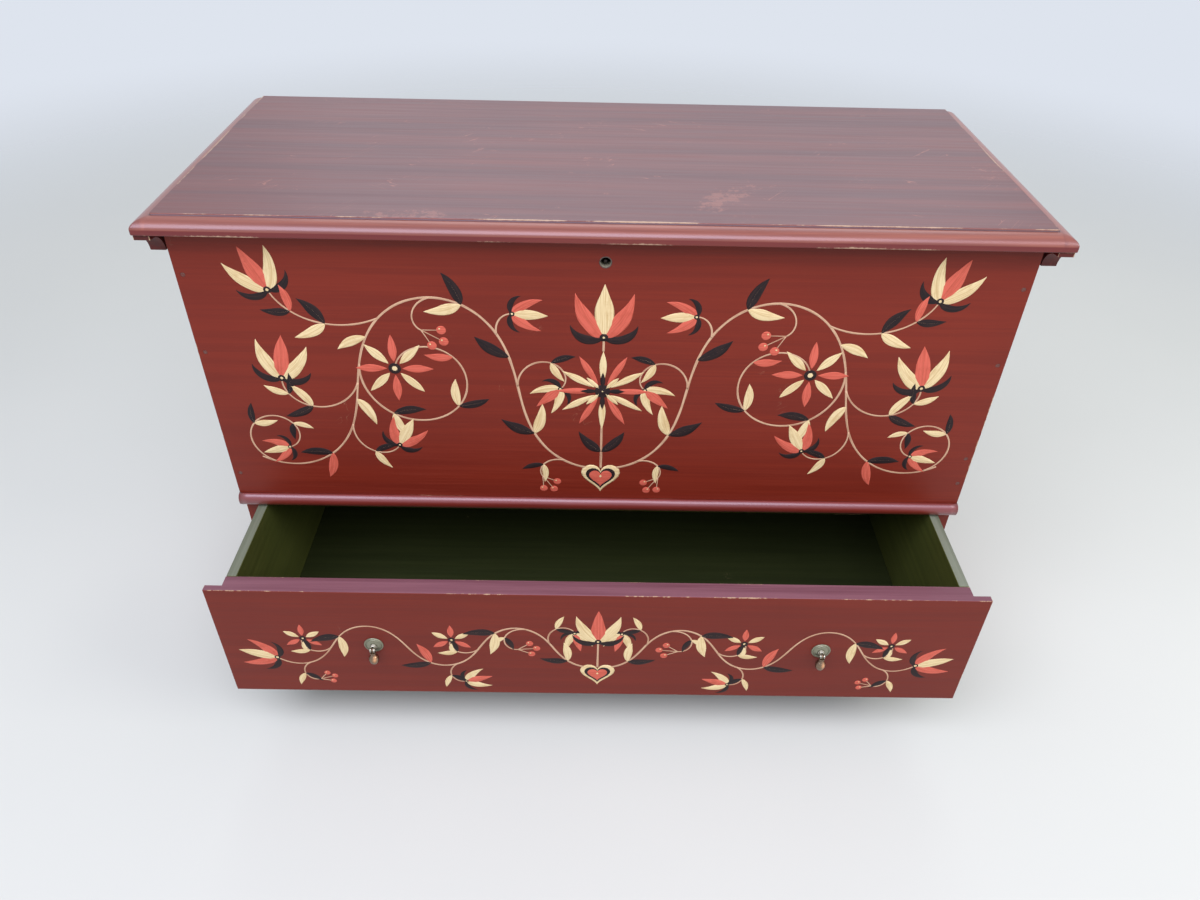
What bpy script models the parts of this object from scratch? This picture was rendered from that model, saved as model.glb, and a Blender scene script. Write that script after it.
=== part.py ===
"""Painted blanket chest: a hinged lid over a deep box, with one long drawer below.

Metres, +X to the right, +Y to the back and +Z up, with the floor at z = 0.
The lid is shut and the drawer stands part open.
"""

import math

import bmesh
import bpy
from mathutils import Matrix, Vector

for leftover in list(bpy.data.objects):
    bpy.data.objects.remove(leftover, do_unlink=True)

# Case: what its height is made of from the floor up, then its plan.
foot_height = 0.105
drawer_front_height = 0.221
drawer_top_gap = 0.002
moulding_height = 0.0215
upper_front_height = 0.434
case_width = 1.113
case_depth = 0.455

# Lid: one board that overhangs the case all round.
lid_thickness = 0.0215
lid_end_overhang = 0.0275
lid_front_overhang = 0.027
lid_back_overhang = 0.013

# Case boards: the front and back are rebated to lap the edges of the sides.
side_thickness = 0.022
front_thickness = 0.019
back_thickness = 0.019
lap_thickness = 0.010
chest_bottom_thickness = 0.016
dado_depth = 0.007
arch_width = 0.235
arch_height = 0.085
rail_height = 0.045
rail_thickness = 0.019
runner_width = 0.025
runner_height = 0.022

# Drawer.
drawer_open = 0.184
drawer_front_thickness = 0.028
drawer_lip_thickness = 0.010
drawer_side_clearance = 0.0025
drawer_side_thickness = 0.015
drawer_back_thickness = 0.015
drawer_back_drop = 0.005
drawer_length = 0.425
panel_thickness = 0.007
panel_height = 0.008
panel_groove = 0.0065

# Drop pulls: plate against the drawer front, fork of the post, hanging drop.
pull_spacing = 0.662
pull_plate_radius = 0.0143
pull_plate_height = 0.0030
pull_axis_reach = 0.011
drop_belly_radius = 0.0068

# Gap between pieces that touch, and how far a cutter runs past what it cuts.
seat = 0.0003
overrun = 0.010
weld = 0.000001

# Where the boards lie, worked out from the sizes above.
case_side = case_width / 2
inner_side = case_side - side_thickness
drawer_top = foot_height + drawer_front_height
case_floor = drawer_top + drawer_top_gap
case_height = case_floor + moulding_height + upper_front_height
front_reach = drawer_open + pull_axis_reach + drop_belly_radius
case_front = (front_reach - case_depth - lid_back_overhang) / 2
case_back = case_front + case_depth
side_front = case_front + lap_thickness + seat
side_back = case_back - lap_thickness - seat
front_inside = case_front + front_thickness
back_inside = case_back - back_thickness
lid_low = case_height + seat

chest = bpy.data.collections.new("blanket_chest")
cutters = bpy.data.collections.new("cutters")
bpy.context.scene.collection.children.link(chest)
bpy.context.scene.collection.children.link(cutters)
cutters.hide_render = True


def material(name, code, roughness, metallic=0.0):
    """A Principled material from an 8-bit screen colour."""
    shares = [value / 255 for value in code]
    linear = [s / 12.92 if s < 0.04 else ((s + 0.055) / 1.055) ** 2.4 for s in shares]
    made = bpy.data.materials.new(name)
    made.use_nodes = True
    shader = made.node_tree.nodes["Principled BSDF"]
    shader.inputs["Base Color"].default_value = (*linear, 1.0)
    shader.inputs["Roughness"].default_value = roughness
    shader.inputs["Metallic"].default_value = metallic
    return made


red_paint = material("red_paint", (122, 48, 42), 0.45)
lid_paint = material("lid_paint", (112, 52, 46), 0.35)
green_paint = material("green_paint", (62, 66, 36), 0.5)
bare_pine = material("bare_pine", (156, 121, 82), 0.7)
aged_brass = material("aged_brass", (122, 112, 88), 0.4, 1.0)
dark_iron = material("dark_iron", (58, 54, 50), 0.55, 1.0)
bright_steel = material("bright_steel", (140, 138, 132), 0.35, 1.0)


def add(name, mesh, place, look=None):
    """A finished piece where a look is given, and otherwise a cutter."""
    piece = bpy.data.objects.new(name, mesh)
    piece.location = place
    if look:
        mesh.materials.append(look)
        chest.objects.link(piece)
    else:
        cutters.objects.link(piece)
        piece.hide_render = True
        piece.display_type = "WIRE"
    return piece


def box(name, low, high, look=None, ease=0):
    """A board between two corners, with its long edges eased where asked."""
    middle = (Vector(low) + Vector(high)) / 2
    size = Vector(high) - Vector(low)
    shape = bmesh.new()
    bmesh.ops.create_cube(shape, size=1, matrix=Matrix.Diagonal(size.to_4d()))
    mesh = bpy.data.meshes.new(name)
    shape.to_mesh(mesh)
    shape.free()
    piece = add(name, mesh, middle, look)
    if ease:
        rounding = piece.modifiers.new("Eased edges", "BEVEL")
        rounding.width = ease
        rounding.segments = 1
    return piece


# Turns that point a piece's local +Z to the front, the back, the right, up or down.
facing = {
    "front": (math.pi / 2, 0, 0),
    "back": (-math.pi / 2, 0, 0),
    "right": (0, math.pi / 2, 0),
    "up": (0, 0, 0),
    "down": (math.pi, 0, 0),
}
round_sides = 16
small_sides = 12


def rod(name, radius, length, middle, way, look=None, sides=round_sides):
    """A round bar about its middle, along the way it faces."""
    shape = bmesh.new()
    bmesh.ops.create_cone(
        shape, cap_ends=True, segments=sides, radius1=radius, radius2=radius, depth=length
    )
    mesh = bpy.data.meshes.new(name)
    shape.to_mesh(mesh)
    shape.free()
    piece = add(name, mesh, middle, look)
    piece.rotation_euler = facing[way]
    return piece


def turned(name, profile, place, way, look=None, sides=round_sides):
    """A turned piece from (radius, height) points that run down its outer side."""
    points = [(radius, 0, height) for radius, height in dict.fromkeys(profile)]
    edges = [(i, i + 1) for i in range(len(points) - 1)]
    mesh = bpy.data.meshes.new(name)
    mesh.from_pydata(points, edges, [])
    piece = add(name, mesh, place, look)
    piece.rotation_euler = facing[way]
    turning = piece.modifiers.new("Turning", "SCREW")
    turning.steps = turning.render_steps = sides
    turning.use_merge_vertices = True
    turning.merge_threshold = weld
    return piece


def long_section(name, outline, low, high, look=None):
    """An outline of (y, z) points run along X from low to high."""
    curve = bpy.data.curves.new(name, "CURVE")
    curve.dimensions = "2D"
    curve.fill_mode = "BOTH"
    curve.extrude = (high - low) / 2
    spline = curve.splines.new("POLY")
    spline.points.add(len(outline) - 1)
    for point, (y, z) in zip(spline.points, outline):
        point.co = (y, z, 0, 1)
    spline.use_cyclic_u = True
    guide = bpy.data.objects.new(name, curve)
    guide.rotation_euler = (math.pi / 2, 0, math.pi / 2)
    guide.location.x = (low + high) / 2
    chest.objects.link(guide)
    bpy.context.view_layer.update()
    graph = bpy.context.evaluated_depsgraph_get()
    mesh = bpy.data.meshes.new_from_object(guide.evaluated_get(graph))
    placed = guide.matrix_world.copy()
    bpy.data.objects.remove(guide)
    shape = bmesh.new()
    shape.from_mesh(mesh)
    bmesh.ops.remove_doubles(shape, verts=shape.verts, dist=weld)
    shape.to_mesh(mesh)
    shape.free()
    piece = add(name, mesh, (0, 0, 0), look)
    piece.matrix_world = placed
    return piece


def skinned(name, rings, look):
    """A solid between rings of points, from the bottom up and anticlockwise from above."""
    shape = bmesh.new()
    loops = [[shape.verts.new(point) for point in ring] for ring in rings]
    for below, above in zip(loops, loops[1:]):
        for i in range(len(below)):
            j = (i + 1) % len(below)
            shape.faces.new((below[i], below[j], above[j], above[i]))
    shape.faces.new(reversed(loops[0]))
    shape.faces.new(loops[-1])
    mesh = bpy.data.meshes.new(name)
    shape.to_mesh(mesh)
    shape.free()
    return add(name, mesh, (0, 0, 0), look)


def arc(middle_y, middle_z, radius_y, radius_z, start, end, steps):
    """Points along an ellipse from one angle to another, in degrees."""
    turns = [math.radians(start + (end - start) * i / steps) for i in range(steps + 1)]
    return [
        (middle_y + radius_y * math.cos(t), middle_z + radius_z * math.sin(t)) for t in turns
    ]


def shape_with(piece, tool, operation="DIFFERENCE"):
    """Joins a tool on, or cuts it away in one go with the cuts just before it."""
    last = piece.modifiers[-1] if piece.modifiers else None
    if operation == "UNION":
        change = piece.modifiers.new(tool.name, "BOOLEAN")
        change.operation = operation
        change.object = tool
    elif last and last.type == "BOOLEAN" and last.operand_type == "COLLECTION":
        last.collection.objects.link(tool)
    else:
        change = piece.modifiers.new("Cuts", "BOOLEAN")
        change.operand_type = "COLLECTION"
        change.collection = bpy.data.collections.new(piece.name + "_cuts")
        change.collection.objects.link(tool)
    if tool.parent is None:
        tool.parent = piece
        tool.matrix_parent_inverse = piece.matrix_basis.inverted()


def hang_on(name, place, pieces):
    """An empty on the axis of a moving group, which carries the group's pieces."""
    pivot = bpy.data.objects.new(name, None)
    pivot.location = place
    chest.objects.link(pivot)
    for piece in pieces:
        piece.parent = pivot
        piece.matrix_parent_inverse = pivot.matrix_basis.inverted()
    return pivot


# Fasteners, as head radius, radius under the head, head height, shank radius, length.
cut_nail = (0.0030, 0.0030, 0.0020, 0.0014, 0.045)
hinge_screw = (0.0034, 0.0018, 0.0018, 0.0018, 0.014)
lock_screw = (0.0034, 0.0034, 0.0018, 0.0018, 0.014)
cleat_screw = (0.0042, 0.0020, 0.0026, 0.0020, 0.030)


def fasten(name, sizes, place, way, pieces, look, sunk=0):
    """A nail or screw with its head at the place, and its hole in the pieces."""
    head, neck, head_height, shank, length = sizes
    profile = [
        (0, 0),
        (head, 0),
        (neck, -head_height),
        (shank, -head_height),
        (shank, -length),
        (0, -length),
    ]
    fastener = turned(name, profile, place, way, look, small_sides)
    hole = [
        (0, sunk + overrun),
        (head + seat, sunk + overrun),
        (head + seat, 0),
        (neck + seat, -head_height - seat),
        (shank + seat, -head_height - seat),
        (shank + seat, -length - seat),
        (0, -length - seat),
    ]
    hole_cutter = turned(name + "_hole", hole, place, way, sides=small_sides)
    for piece in pieces:
        shape_with(piece, hole_cutter)
    return fastener


# Side boards: full height, with an arch cut between the front and the back foot
# and a dado on the inside for the floor of the chest.
case_middle = (case_front + case_back) / 2
arch_outline = arc(case_middle, 0, arch_width / 2, arch_height, 0, 180, 12)
arch_outline += [(case_middle - arch_width / 2, -overrun), (case_middle + arch_width / 2, -overrun)]
board_ease = 0.0008


def side_board(name, side):
    inner, outer = sorted((side * inner_side, side * case_side), key=abs)
    low, high = min(inner, outer), max(inner, outer)
    board = box(name, (low, side_front, 0), (high, side_back, case_height), red_paint)
    arch = long_section(name + "_arch", arch_outline, low - overrun, high + overrun)
    shape_with(board, arch)
    dado_ends = sorted((inner - side * overrun, inner + side * dado_depth))
    dado = box(
        name + "_dado",
        (dado_ends[0], front_inside, case_floor - seat),
        (dado_ends[1], back_inside, case_floor + chest_bottom_thickness + seat),
    )
    shape_with(board, dado)
    return board


side_boards = {"left": side_board("side_board_left", -1), "right": side_board("side_board_right", 1)}


# Front board and back boards: rebated at both ends, so that a tongue laps each side board.
def lapped_board(name, outer, inner, low, high, look):
    tongue = outer + math.copysign(lap_thickness, inner - outer)
    shoulder = inner_side - seat
    right = [(case_side, outer), (case_side, tongue), (shoulder, tongue), (shoulder, inner)]
    plan = right + [(-x, y) for x, y in reversed(right)]
    if inner < outer:
        plan.reverse()
    return skinned(name, [[(x, y, height) for x, y in plan] for height in (low, high)], look)


rail_top = foot_height - seat
rail_low = rail_top - rail_height
front_board = lapped_board("front_board", case_front, front_inside, case_floor, case_height, red_paint)
back_board_upper = lapped_board(
    "back_board_upper", case_back, back_inside, case_floor, case_height, bare_pine
)
lapped_board("back_board_lower", case_back, back_inside, rail_low, case_floor - seat, bare_pine)

# Floor of the chest, held in the dados of the side boards.
chest_bottom_reach = inner_side + dado_depth - seat
box(
    "chest_bottom",
    (-chest_bottom_reach, front_inside + seat, case_floor),
    (chest_bottom_reach, back_inside - seat, case_floor + chest_bottom_thickness),
    bare_pine,
)

# Rail under the drawer, and the two runners that the drawer slides on.
rail_back = side_front + rail_thickness
rail_reach = inner_side - seat
box(
    "drawer_rail",
    (-rail_reach, side_front, rail_low),
    (rail_reach, rail_back, rail_top),
    red_paint,
    board_ease,
)
for word, side in (("left", -1), ("right", 1)):
    across = sorted((side * rail_reach, side * (rail_reach - runner_width)))
    box(
        "runner_" + word,
        (across[0], rail_back + seat, rail_top - runner_height),
        (across[1], back_inside - seat, rail_top),
        bare_pine,
    )

# Half-round moulding along the foot of the front board.
moulding_reach = 0.010
moulding_back = case_front - seat
moulding_middle = case_floor + moulding_height / 2
moulding_outline = arc(
    moulding_back, moulding_middle, moulding_reach, moulding_height / 2, 90, 270, 8
)
long_section("waist_moulding", moulding_outline, -case_side, case_side, red_paint)

# Nails through the front board's tongues into the side boards, as shares of its height.
nail_inset = 0.010
nail_sink = 0.0002
nail_shares = {
    "left": (0.858, 0.601, 0.132),
    "right": (0.858, 0.601, 0.239, 0.134),
}
for word, side in (("left", -1), ("right", 1)):
    for number, share in enumerate(nail_shares[word], 1):
        height = case_floor + share * (case_height - case_floor)
        fasten(
            f"front_nail_{word}_{number}",
            cut_nail,
            (side * (case_side - nail_inset), case_front + nail_sink, height),
            "front",
            (front_board, side_boards[word]),
            red_paint,
        )

# Lid: a board whose front and ends carry a quirk and an ovolo above a plain band.
lid_edge_width = 0.0208
lid_quirk = 0.0026
lid_round_foot = 0.0144
lid_arris = 0.001
lid_side = case_side + lid_end_overhang
lid_front = case_front - lid_front_overhang
lid_back = case_back + lid_back_overhang
lid_top = lid_low + lid_thickness


def lid_edge():
    """(inset, height) points of the moulded edge, bottom to top."""
    round_height = lid_round_foot - lid_quirk
    ovolo = arc(lid_edge_width, lid_top - lid_round_foot, lid_edge_width, round_height, 180, 90, 6)
    return [(lid_arris, lid_low), (0, lid_low + lid_arris), *ovolo, (lid_edge_width, lid_top)]


def lid_ring(inset, height):
    """The lid's outline at one height: the back stays straight up."""
    side = lid_side - inset
    front = lid_front + inset
    corners = ((-side, front), (side, front), (side, lid_back), (-side, lid_back))
    return [(x, y, height) for x, y in corners]


lid_board = skinned("lid_board", [lid_ring(*point) for point in lid_edge()], lid_paint)
lid_pieces = [lid_board]

# Cleats under the lid's ends: a short nose over a hollow at the front, plain behind.
cleat_height = 0.0345
cleat_thickness = 0.020
cleat_end_set = 0.002
cleat_front_set = 0.0025
cleat_nose_height = 0.0065
cleat_nose_depth = 0.0045
cleat_outer = lid_side - cleat_end_set
cleat_top = lid_low - seat
cleat_low = cleat_top - cleat_height
cleat_front = lid_front + cleat_front_set
cleat_back = lid_back - cleat_front_set
cove_radius = cleat_height - cleat_nose_height
cove_front = cleat_front + cleat_nose_depth
cleat_outline = [(cleat_front, cleat_top), (cleat_front, cleat_low + cove_radius)]
cleat_outline += arc(cove_front, cleat_low, cove_radius, cove_radius, 90, 0, 8)
cleat_outline += [(cleat_back, cleat_low), (cleat_back, cleat_top)]
cleat_screw_set = 0.075
cleat_screw_sink = 0.018
for word, side in (("left", -1), ("right", 1)):
    ends = sorted((side * cleat_outer, side * (cleat_outer - cleat_thickness)))
    cleat = long_section("cleat_" + word, cleat_outline, *ends, red_paint)
    lid_pieces.append(cleat)
    for number, depth in enumerate((cleat_front + cleat_screw_set, cleat_back - cleat_screw_set), 1):
        screw = fasten(
            f"cleat_screw_{word}_{number}",
            cleat_screw,
            (sum(ends) / 2, depth, cleat_low + cleat_screw_sink),
            "down",
            (cleat, lid_board),
            dark_iron,
            cleat_screw_sink,
        )
        lid_pieces.append(screw)

# Butt hinges, let into the back board's top edge and the lid. The knuckles stand
# just behind the case, so the lid's overhang stops against the back board.
hinge_spacing = 0.70
hinge_length = 0.076
hinge_knuckles = 5
hinge_radius = 0.0035
hinge_out = 0.0015
hinge_leaf = 0.0020
hinge_leaf_reach = 0.016
hinge_pin_radius = 0.0015
hinge_bore_radius = 0.0019
hinge_clearance = 0.0005
hinge_screw_set = 0.0095
hinge_screw_spacing = 0.044
hinge_y = case_back + hinge_out
hinge_z = (case_height + lid_low) / 2
leaf_front = case_back - hinge_leaf_reach
knuckle = hinge_length / hinge_knuckles


def hinge_half(name, x, low, high, own, board):
    """A leaf between two heights with its own knuckles, and its mortise in the board."""
    end = hinge_length / 2
    leaf = box(name, (x - end, leaf_front, low), (x + end, hinge_y, high), dark_iron)
    barrel = rod(name + "_barrel", hinge_radius, hinge_length, (x, hinge_y, hinge_z), "right")
    shape_with(leaf, barrel, "UNION")
    room = hinge_radius + hinge_clearance
    for number in range(hinge_knuckles):
        if number % 2 == own:
            continue
        start = x - end + number * knuckle - seat
        stop = x - end + (number + 1) * knuckle + seat
        gap = box(
            f"{name}_gap_{number}",
            (start - overrun * (number == 0), hinge_y - room, hinge_z - overrun),
            (stop + overrun * (number == hinge_knuckles - 1), hinge_y + room, hinge_z + overrun),
        )
        shape_with(leaf, gap)
    bore = rod(
        name + "_bore", hinge_bore_radius, hinge_length + overrun, (x, hinge_y, hinge_z), "right"
    )
    shape_with(leaf, bore)
    mortise = box(
        name + "_mortise",
        (x - end - seat, leaf_front - seat, low - seat - overrun * (own == 1)),
        (x + end + seat, hinge_y, high + seat + overrun * (own == 0)),
    )
    shape_with(board, mortise)
    notch = rod(
        name + "_notch",
        hinge_radius + hinge_clearance,
        hinge_length + hinge_clearance,
        (x, hinge_y, hinge_z),
        "right",
    )
    shape_with(board, notch)
    return leaf


def screws_for(leaf, name, x, height, way, board):
    return [
        fasten(
            f"{name}_{number}",
            hinge_screw,
            (x + side * hinge_screw_spacing / 2, case_back - hinge_screw_set, height),
            way,
            (leaf, board),
            dark_iron,
        )
        for number, side in ((1, -1), (2, 1))
    ]


for word, side in (("left", -1), ("right", 1)):
    x = side * hinge_spacing / 2
    lower = hinge_half(
        "hinge_leaf_case_" + word, x, case_height - hinge_leaf, case_height, 0, back_board_upper
    )
    upper = hinge_half(
        "hinge_leaf_lid_" + word, x, lid_low, lid_low + hinge_leaf, 1, lid_board
    )
    rod("hinge_pin_" + word, hinge_pin_radius, hinge_length, (x, hinge_y, hinge_z), "right", dark_iron)
    screws_for(lower, "hinge_screw_case_" + word, x, case_height, "up", back_board_upper)
    lid_pieces.append(upper)
    lid_pieces += screws_for(upper, "hinge_screw_lid_" + word, x, lid_low, "down", lid_board)

# Chest lock behind the front board: a case open at the back, with ears and a top
# plate let into the board's edge, closed by a cover that carries the key's pin.
keyhole_drop = 0.0365
keyhole_radius = 0.0070
liner_radius = 0.0082
liner_proud = 0.0004
key_pin_radius = 0.0019
key_pin_set = 0.004
lock_half_width = 0.036
lock_ear = 0.010
lock_height = 0.055
lock_depth = 0.0125
lock_wall = 0.0015
selvage_thickness = 0.002
selvage_reach = 0.010
lock_cover_thickness = 0.0015
lock_low = case_height - lock_height
lock_front = front_inside + seat
lock_back = lock_front + lock_depth
lock_ear_reach = lock_half_width + lock_ear
keyhole_height = case_height - keyhole_drop

lock_case = box(
    "lock_case",
    (-lock_ear_reach, lock_front, lock_low),
    (lock_ear_reach, lock_front + lock_wall, case_height - selvage_thickness / 2),
    dark_iron,
)
lock_body = box(
    "lock_case_body",
    (-lock_half_width, lock_front + lock_wall / 2, lock_low),
    (lock_half_width, lock_back, case_height - selvage_thickness / 2),
)
selvage = box(
    "lock_case_selvage",
    (-lock_ear_reach, front_inside - selvage_reach, case_height - selvage_thickness),
    (lock_ear_reach, lock_back, case_height),
)
lock_hollow = box(
    "lock_case_hollow",
    (lock_wall - lock_half_width, lock_front + lock_wall, lock_low + lock_wall),
    (lock_half_width - lock_wall, lock_back + overrun, case_height - selvage_thickness),
)
lock_keyway = rod(
    "lock_case_keyway", keyhole_radius, overrun, (0, lock_front, keyhole_height), "front"
)
shape_with(lock_case, lock_body, "UNION")
shape_with(lock_case, selvage, "UNION")
shape_with(lock_case, lock_hollow)
shape_with(lock_case, lock_keyway)

selvage_mortise = box(
    "selvage_mortise",
    (-lock_ear_reach - seat, front_inside - selvage_reach - seat, case_height - selvage_thickness - seat),
    (lock_ear_reach + seat, front_inside + overrun, case_height + overrun),
)
shape_with(front_board, selvage_mortise)

cover_front = lock_back + seat
box(
    "lock_cover",
    (-lock_half_width, cover_front, lock_low),
    (lock_half_width, cover_front + lock_cover_thickness, case_height),
    dark_iron,
)

key_pin_length = lock_back - case_front - key_pin_set
rod(
    "key_pin",
    key_pin_radius,
    key_pin_length,
    (0, lock_back - key_pin_length / 2, keyhole_height),
    "front",
    dark_iron,
)

# Metal liner of the keyhole, through the front board and a little proud of it.
liner_length = front_thickness + liner_proud
liner_middle = (0, front_inside - liner_length / 2, keyhole_height)
liner = rod("keyhole_liner", liner_radius, liner_length, liner_middle, "front", dark_iron, 24)
liner_bore = rod("liner_bore", keyhole_radius, liner_length + overrun, liner_middle, "front", sides=24)
keyhole = rod(
    "keyhole", liner_radius + seat, liner_length + overrun, liner_middle, "front", sides=24
)
shape_with(liner, liner_bore)
shape_with(front_board, keyhole)

lock_screw_drop = 0.040
lock_screw_inset = 0.005
for word, side in (("left", -1), ("right", 1)):
    fasten(
        "lock_screw_" + word,
        lock_screw,
        (
            side * (lock_ear_reach - lock_screw_inset),
            lock_front + lock_wall + lock_screw[2],
            case_height - lock_screw_drop,
        ),
        "back",
        (lock_case, front_board),
        dark_iron,
    )

# Bolt, and the strike plate under the lid. Two horns of the bolt slide through
# two staples of the strike. At rest the bolt is drawn back, so the lid is free.
bolt_travel = 0.008
bolt_thickness = 0.004
bolt_bar_drop = 0.018
bolt_bar_height = 0.006
bolt_guide_height = 0.002
bolt_talon_half = 0.004
bolt_talon_drop = 0.032
horn_high_drop = 0.0070
horn_low_drop = 0.0115
horn_post = 0.003
staple_spacing = 0.032
staple_thickness = 0.003
staple_half_depth = 0.0042
staple_drop = 0.0145
staple_gap = 0.001
staple_hole_gap = 0.0004
strike_thickness = 0.002
strike_half_width = 0.030
strike_half_depth = 0.009
bolt_y = lock_front + (lock_wall + lock_depth) / 2
bolt_near = bolt_y - bolt_thickness / 2
bolt_far = bolt_y + bolt_thickness / 2
bar_top = case_height - bolt_bar_drop
bar_low = bar_top - bolt_bar_height
bar_right = staple_spacing / 2
bar_left = -bar_right - staple_thickness / 2 - staple_gap - bolt_travel - horn_post

lock_bolt = box("lock_bolt", (bar_left, bolt_near, bar_low), (bar_right, bolt_far, bar_top), bright_steel)
talon = box(
    "bolt_talon",
    (-bolt_talon_half, bolt_near, case_height - bolt_talon_drop),
    (bolt_talon_half, bolt_far, bar_top),
)
shape_with(lock_bolt, talon, "UNION")

# Ledges inside the lock case that the bolt slides on, clear of its talon.
guide_reach = lock_half_width - lock_wall / 2
guide_ends = {
    "left": (-guide_reach, -bolt_talon_half - staple_gap),
    "right": (bolt_talon_half + bolt_travel + staple_gap, guide_reach),
}
for word, (start, stop) in guide_ends.items():
    guide = box(
        "bolt_guide_" + word,
        (start, lock_front + lock_wall / 2, bar_low - seat - bolt_guide_height),
        (stop, bolt_far, bar_low - seat),
    )
    shape_with(lock_case, guide, "UNION")

lock_strike = box(
    "lock_strike",
    (-strike_half_width, bolt_y - strike_half_depth, lid_low),
    (strike_half_width, bolt_y + strike_half_depth, lid_low + strike_thickness),
    bright_steel,
)
for word, side in (("left", -1), ("right", 1)):
    x = side * staple_spacing / 2
    tab_left = x - staple_thickness / 2
    tab_right = x + staple_thickness / 2
    horn_right = tab_left - staple_gap
    post_right = horn_right - bolt_travel
    horn = box(
        "bolt_horn_" + word,
        (post_right - horn_post, bolt_near, case_height - horn_low_drop),
        (horn_right, bolt_far, case_height - horn_high_drop),
    )
    post = box(
        "bolt_post_" + word,
        (post_right - horn_post, bolt_near, bar_low),
        (post_right, bolt_far, case_height - horn_high_drop),
    )
    staple = box(
        "staple_" + word,
        (tab_left, bolt_y - staple_half_depth, case_height - staple_drop),
        (tab_right, bolt_y + staple_half_depth, lid_low + strike_thickness),
    )
    staple_hole = box(
        "staple_hole_" + word,
        (tab_left - overrun, bolt_near - staple_hole_gap, case_height - horn_low_drop - staple_hole_gap),
        (tab_right + overrun, bolt_far + staple_hole_gap, case_height - horn_high_drop + staple_hole_gap),
    )
    slot = box(
        "selvage_slot_" + word,
        (tab_left - staple_gap, bolt_y - staple_half_depth - staple_gap, case_height - overrun),
        (tab_right + staple_gap, bolt_y + staple_half_depth + staple_gap, case_height + overrun),
    )
    shape_with(lock_bolt, horn, "UNION")
    shape_with(lock_bolt, post, "UNION")
    shape_with(lock_strike, staple, "UNION")
    shape_with(lock_strike, staple_hole)
    shape_with(lock_case, slot)

strike_mortise = box(
    "strike_mortise",
    (-strike_half_width - seat, bolt_y - strike_half_depth - seat, lid_low - overrun),
    (strike_half_width + seat, bolt_y + strike_half_depth + seat, lid_low + strike_thickness + seat),
)
shape_with(lid_board, strike_mortise)
lid_pieces.append(lock_strike)
hang_on("bolt_slide", (0, bolt_y, bar_top), [lock_bolt])
hang_on("lid_axis", (0, hinge_y, hinge_z), lid_pieces)

# Drawer: the front's ends are rebated into lips that stop against the side boards,
# and its bottom panel lies in grooves and runs out under the back.
drawer_face = case_front - drawer_open
drawer_body_front = drawer_face + drawer_front_thickness
drawer_end = drawer_face + drawer_length
drawer_side = inner_side - drawer_side_clearance
drawer_inner = drawer_side - drawer_side_thickness
panel_low = foot_height + panel_height
panel_top = panel_low + panel_thickness
groove_low = panel_low - seat
groove_top = panel_top + seat
groove_reach = drawer_inner + panel_groove

drawer_front = box(
    "drawer_front",
    (-case_side, drawer_face, foot_height),
    (case_side, drawer_body_front, drawer_top),
    red_paint,
    board_ease,
)
front_groove = box(
    "drawer_front_groove",
    (-groove_reach, drawer_body_front - panel_groove, groove_low),
    (groove_reach, drawer_body_front + overrun, groove_top),
)
shape_with(drawer_front, front_groove)
drawer_pieces = [drawer_front]
for word, side in (("left", -1), ("right", 1)):
    across = sorted((side * drawer_side, side * (case_side + overrun)))
    lip = box(
        "drawer_front_rebate_" + word,
        (across[0], drawer_face + drawer_lip_thickness, foot_height - overrun),
        (across[1], drawer_body_front + overrun, drawer_top + overrun),
    )
    shape_with(drawer_front, lip)
    across = sorted((side * drawer_side, side * drawer_inner))
    board = box(
        "drawer_side_" + word,
        (across[0], drawer_body_front + seat, foot_height),
        (across[1], drawer_end, drawer_top),
        green_paint,
        board_ease,
    )
    across = sorted((side * groove_reach, side * (drawer_inner - overrun)))
    side_groove = box(
        "drawer_side_groove_" + word,
        (across[0], drawer_face, groove_low),
        (across[1], drawer_end + overrun, groove_top),
    )
    shape_with(board, side_groove)
    drawer_pieces.append(board)
drawer_pieces.append(
    box(
        "drawer_back",
        (seat - drawer_inner, drawer_end - drawer_back_thickness, panel_top + seat),
        (drawer_inner - seat, drawer_end, drawer_top - drawer_back_drop),
        green_paint,
    )
)
drawer_pieces.append(
    box(
        "drawer_bottom",
        (seat - groove_reach, drawer_body_front - panel_groove + seat, panel_low),
        (groove_reach - seat, drawer_end, panel_top),
        green_paint,
    )
)

# Drop pulls: a turned plate, a post through the drawer front with a fork and a
# cross pin, a nut inside, and a pear-shaped drop that swings on the pin.
pull_height = foot_height + drawer_front_height / 2
post_radius = 0.0024
post_hole_radius = 0.0028
collar_radius = 0.0048
collar_front = 0.0050
fork_half_width = 0.0036
fork_half_height = 0.0034
slot_half_width = 0.0017
slot_back = 0.0065
cross_pin_radius = 0.0012
nut_half = 0.006
nut_thickness = 0.004
post_end = 0.0015
tongue_half_width = 0.0013
tongue_half_height = 0.0030
eye_radius = 0.0016
drop_shoulder = 0.0045
drop_length = 0.024
plate_shares = [
    (0, 1), (0.42, 0.93), (0.74, 0.62), (0.84, 0.54), (0.91, 0.66), (0.97, 0.60), (1, 0.34),
    (1, 0), (0, 0),
]
drop_shares = [
    (0, 0), (0.56, 0), (0.61, -0.04), (0.57, -0.10), (0.49, -0.15), (0.51, -0.22), (0.67, -0.31),
    (0.89, -0.42), (1, -0.55), (0.97, -0.68), (0.82, -0.82), (0.50, -0.95), (0, -1),
]


def plate_of(name, x):
    profile = [(r * pull_plate_radius, h * pull_plate_height) for r, h in plate_shares]
    plate = turned(name, profile, (x, drawer_face - seat, pull_height), "front", aged_brass, 24)
    hole = rod(name + "_hole", post_hole_radius, overrun * 2, plate.location, "front")
    shape_with(plate, hole)
    return plate


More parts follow.
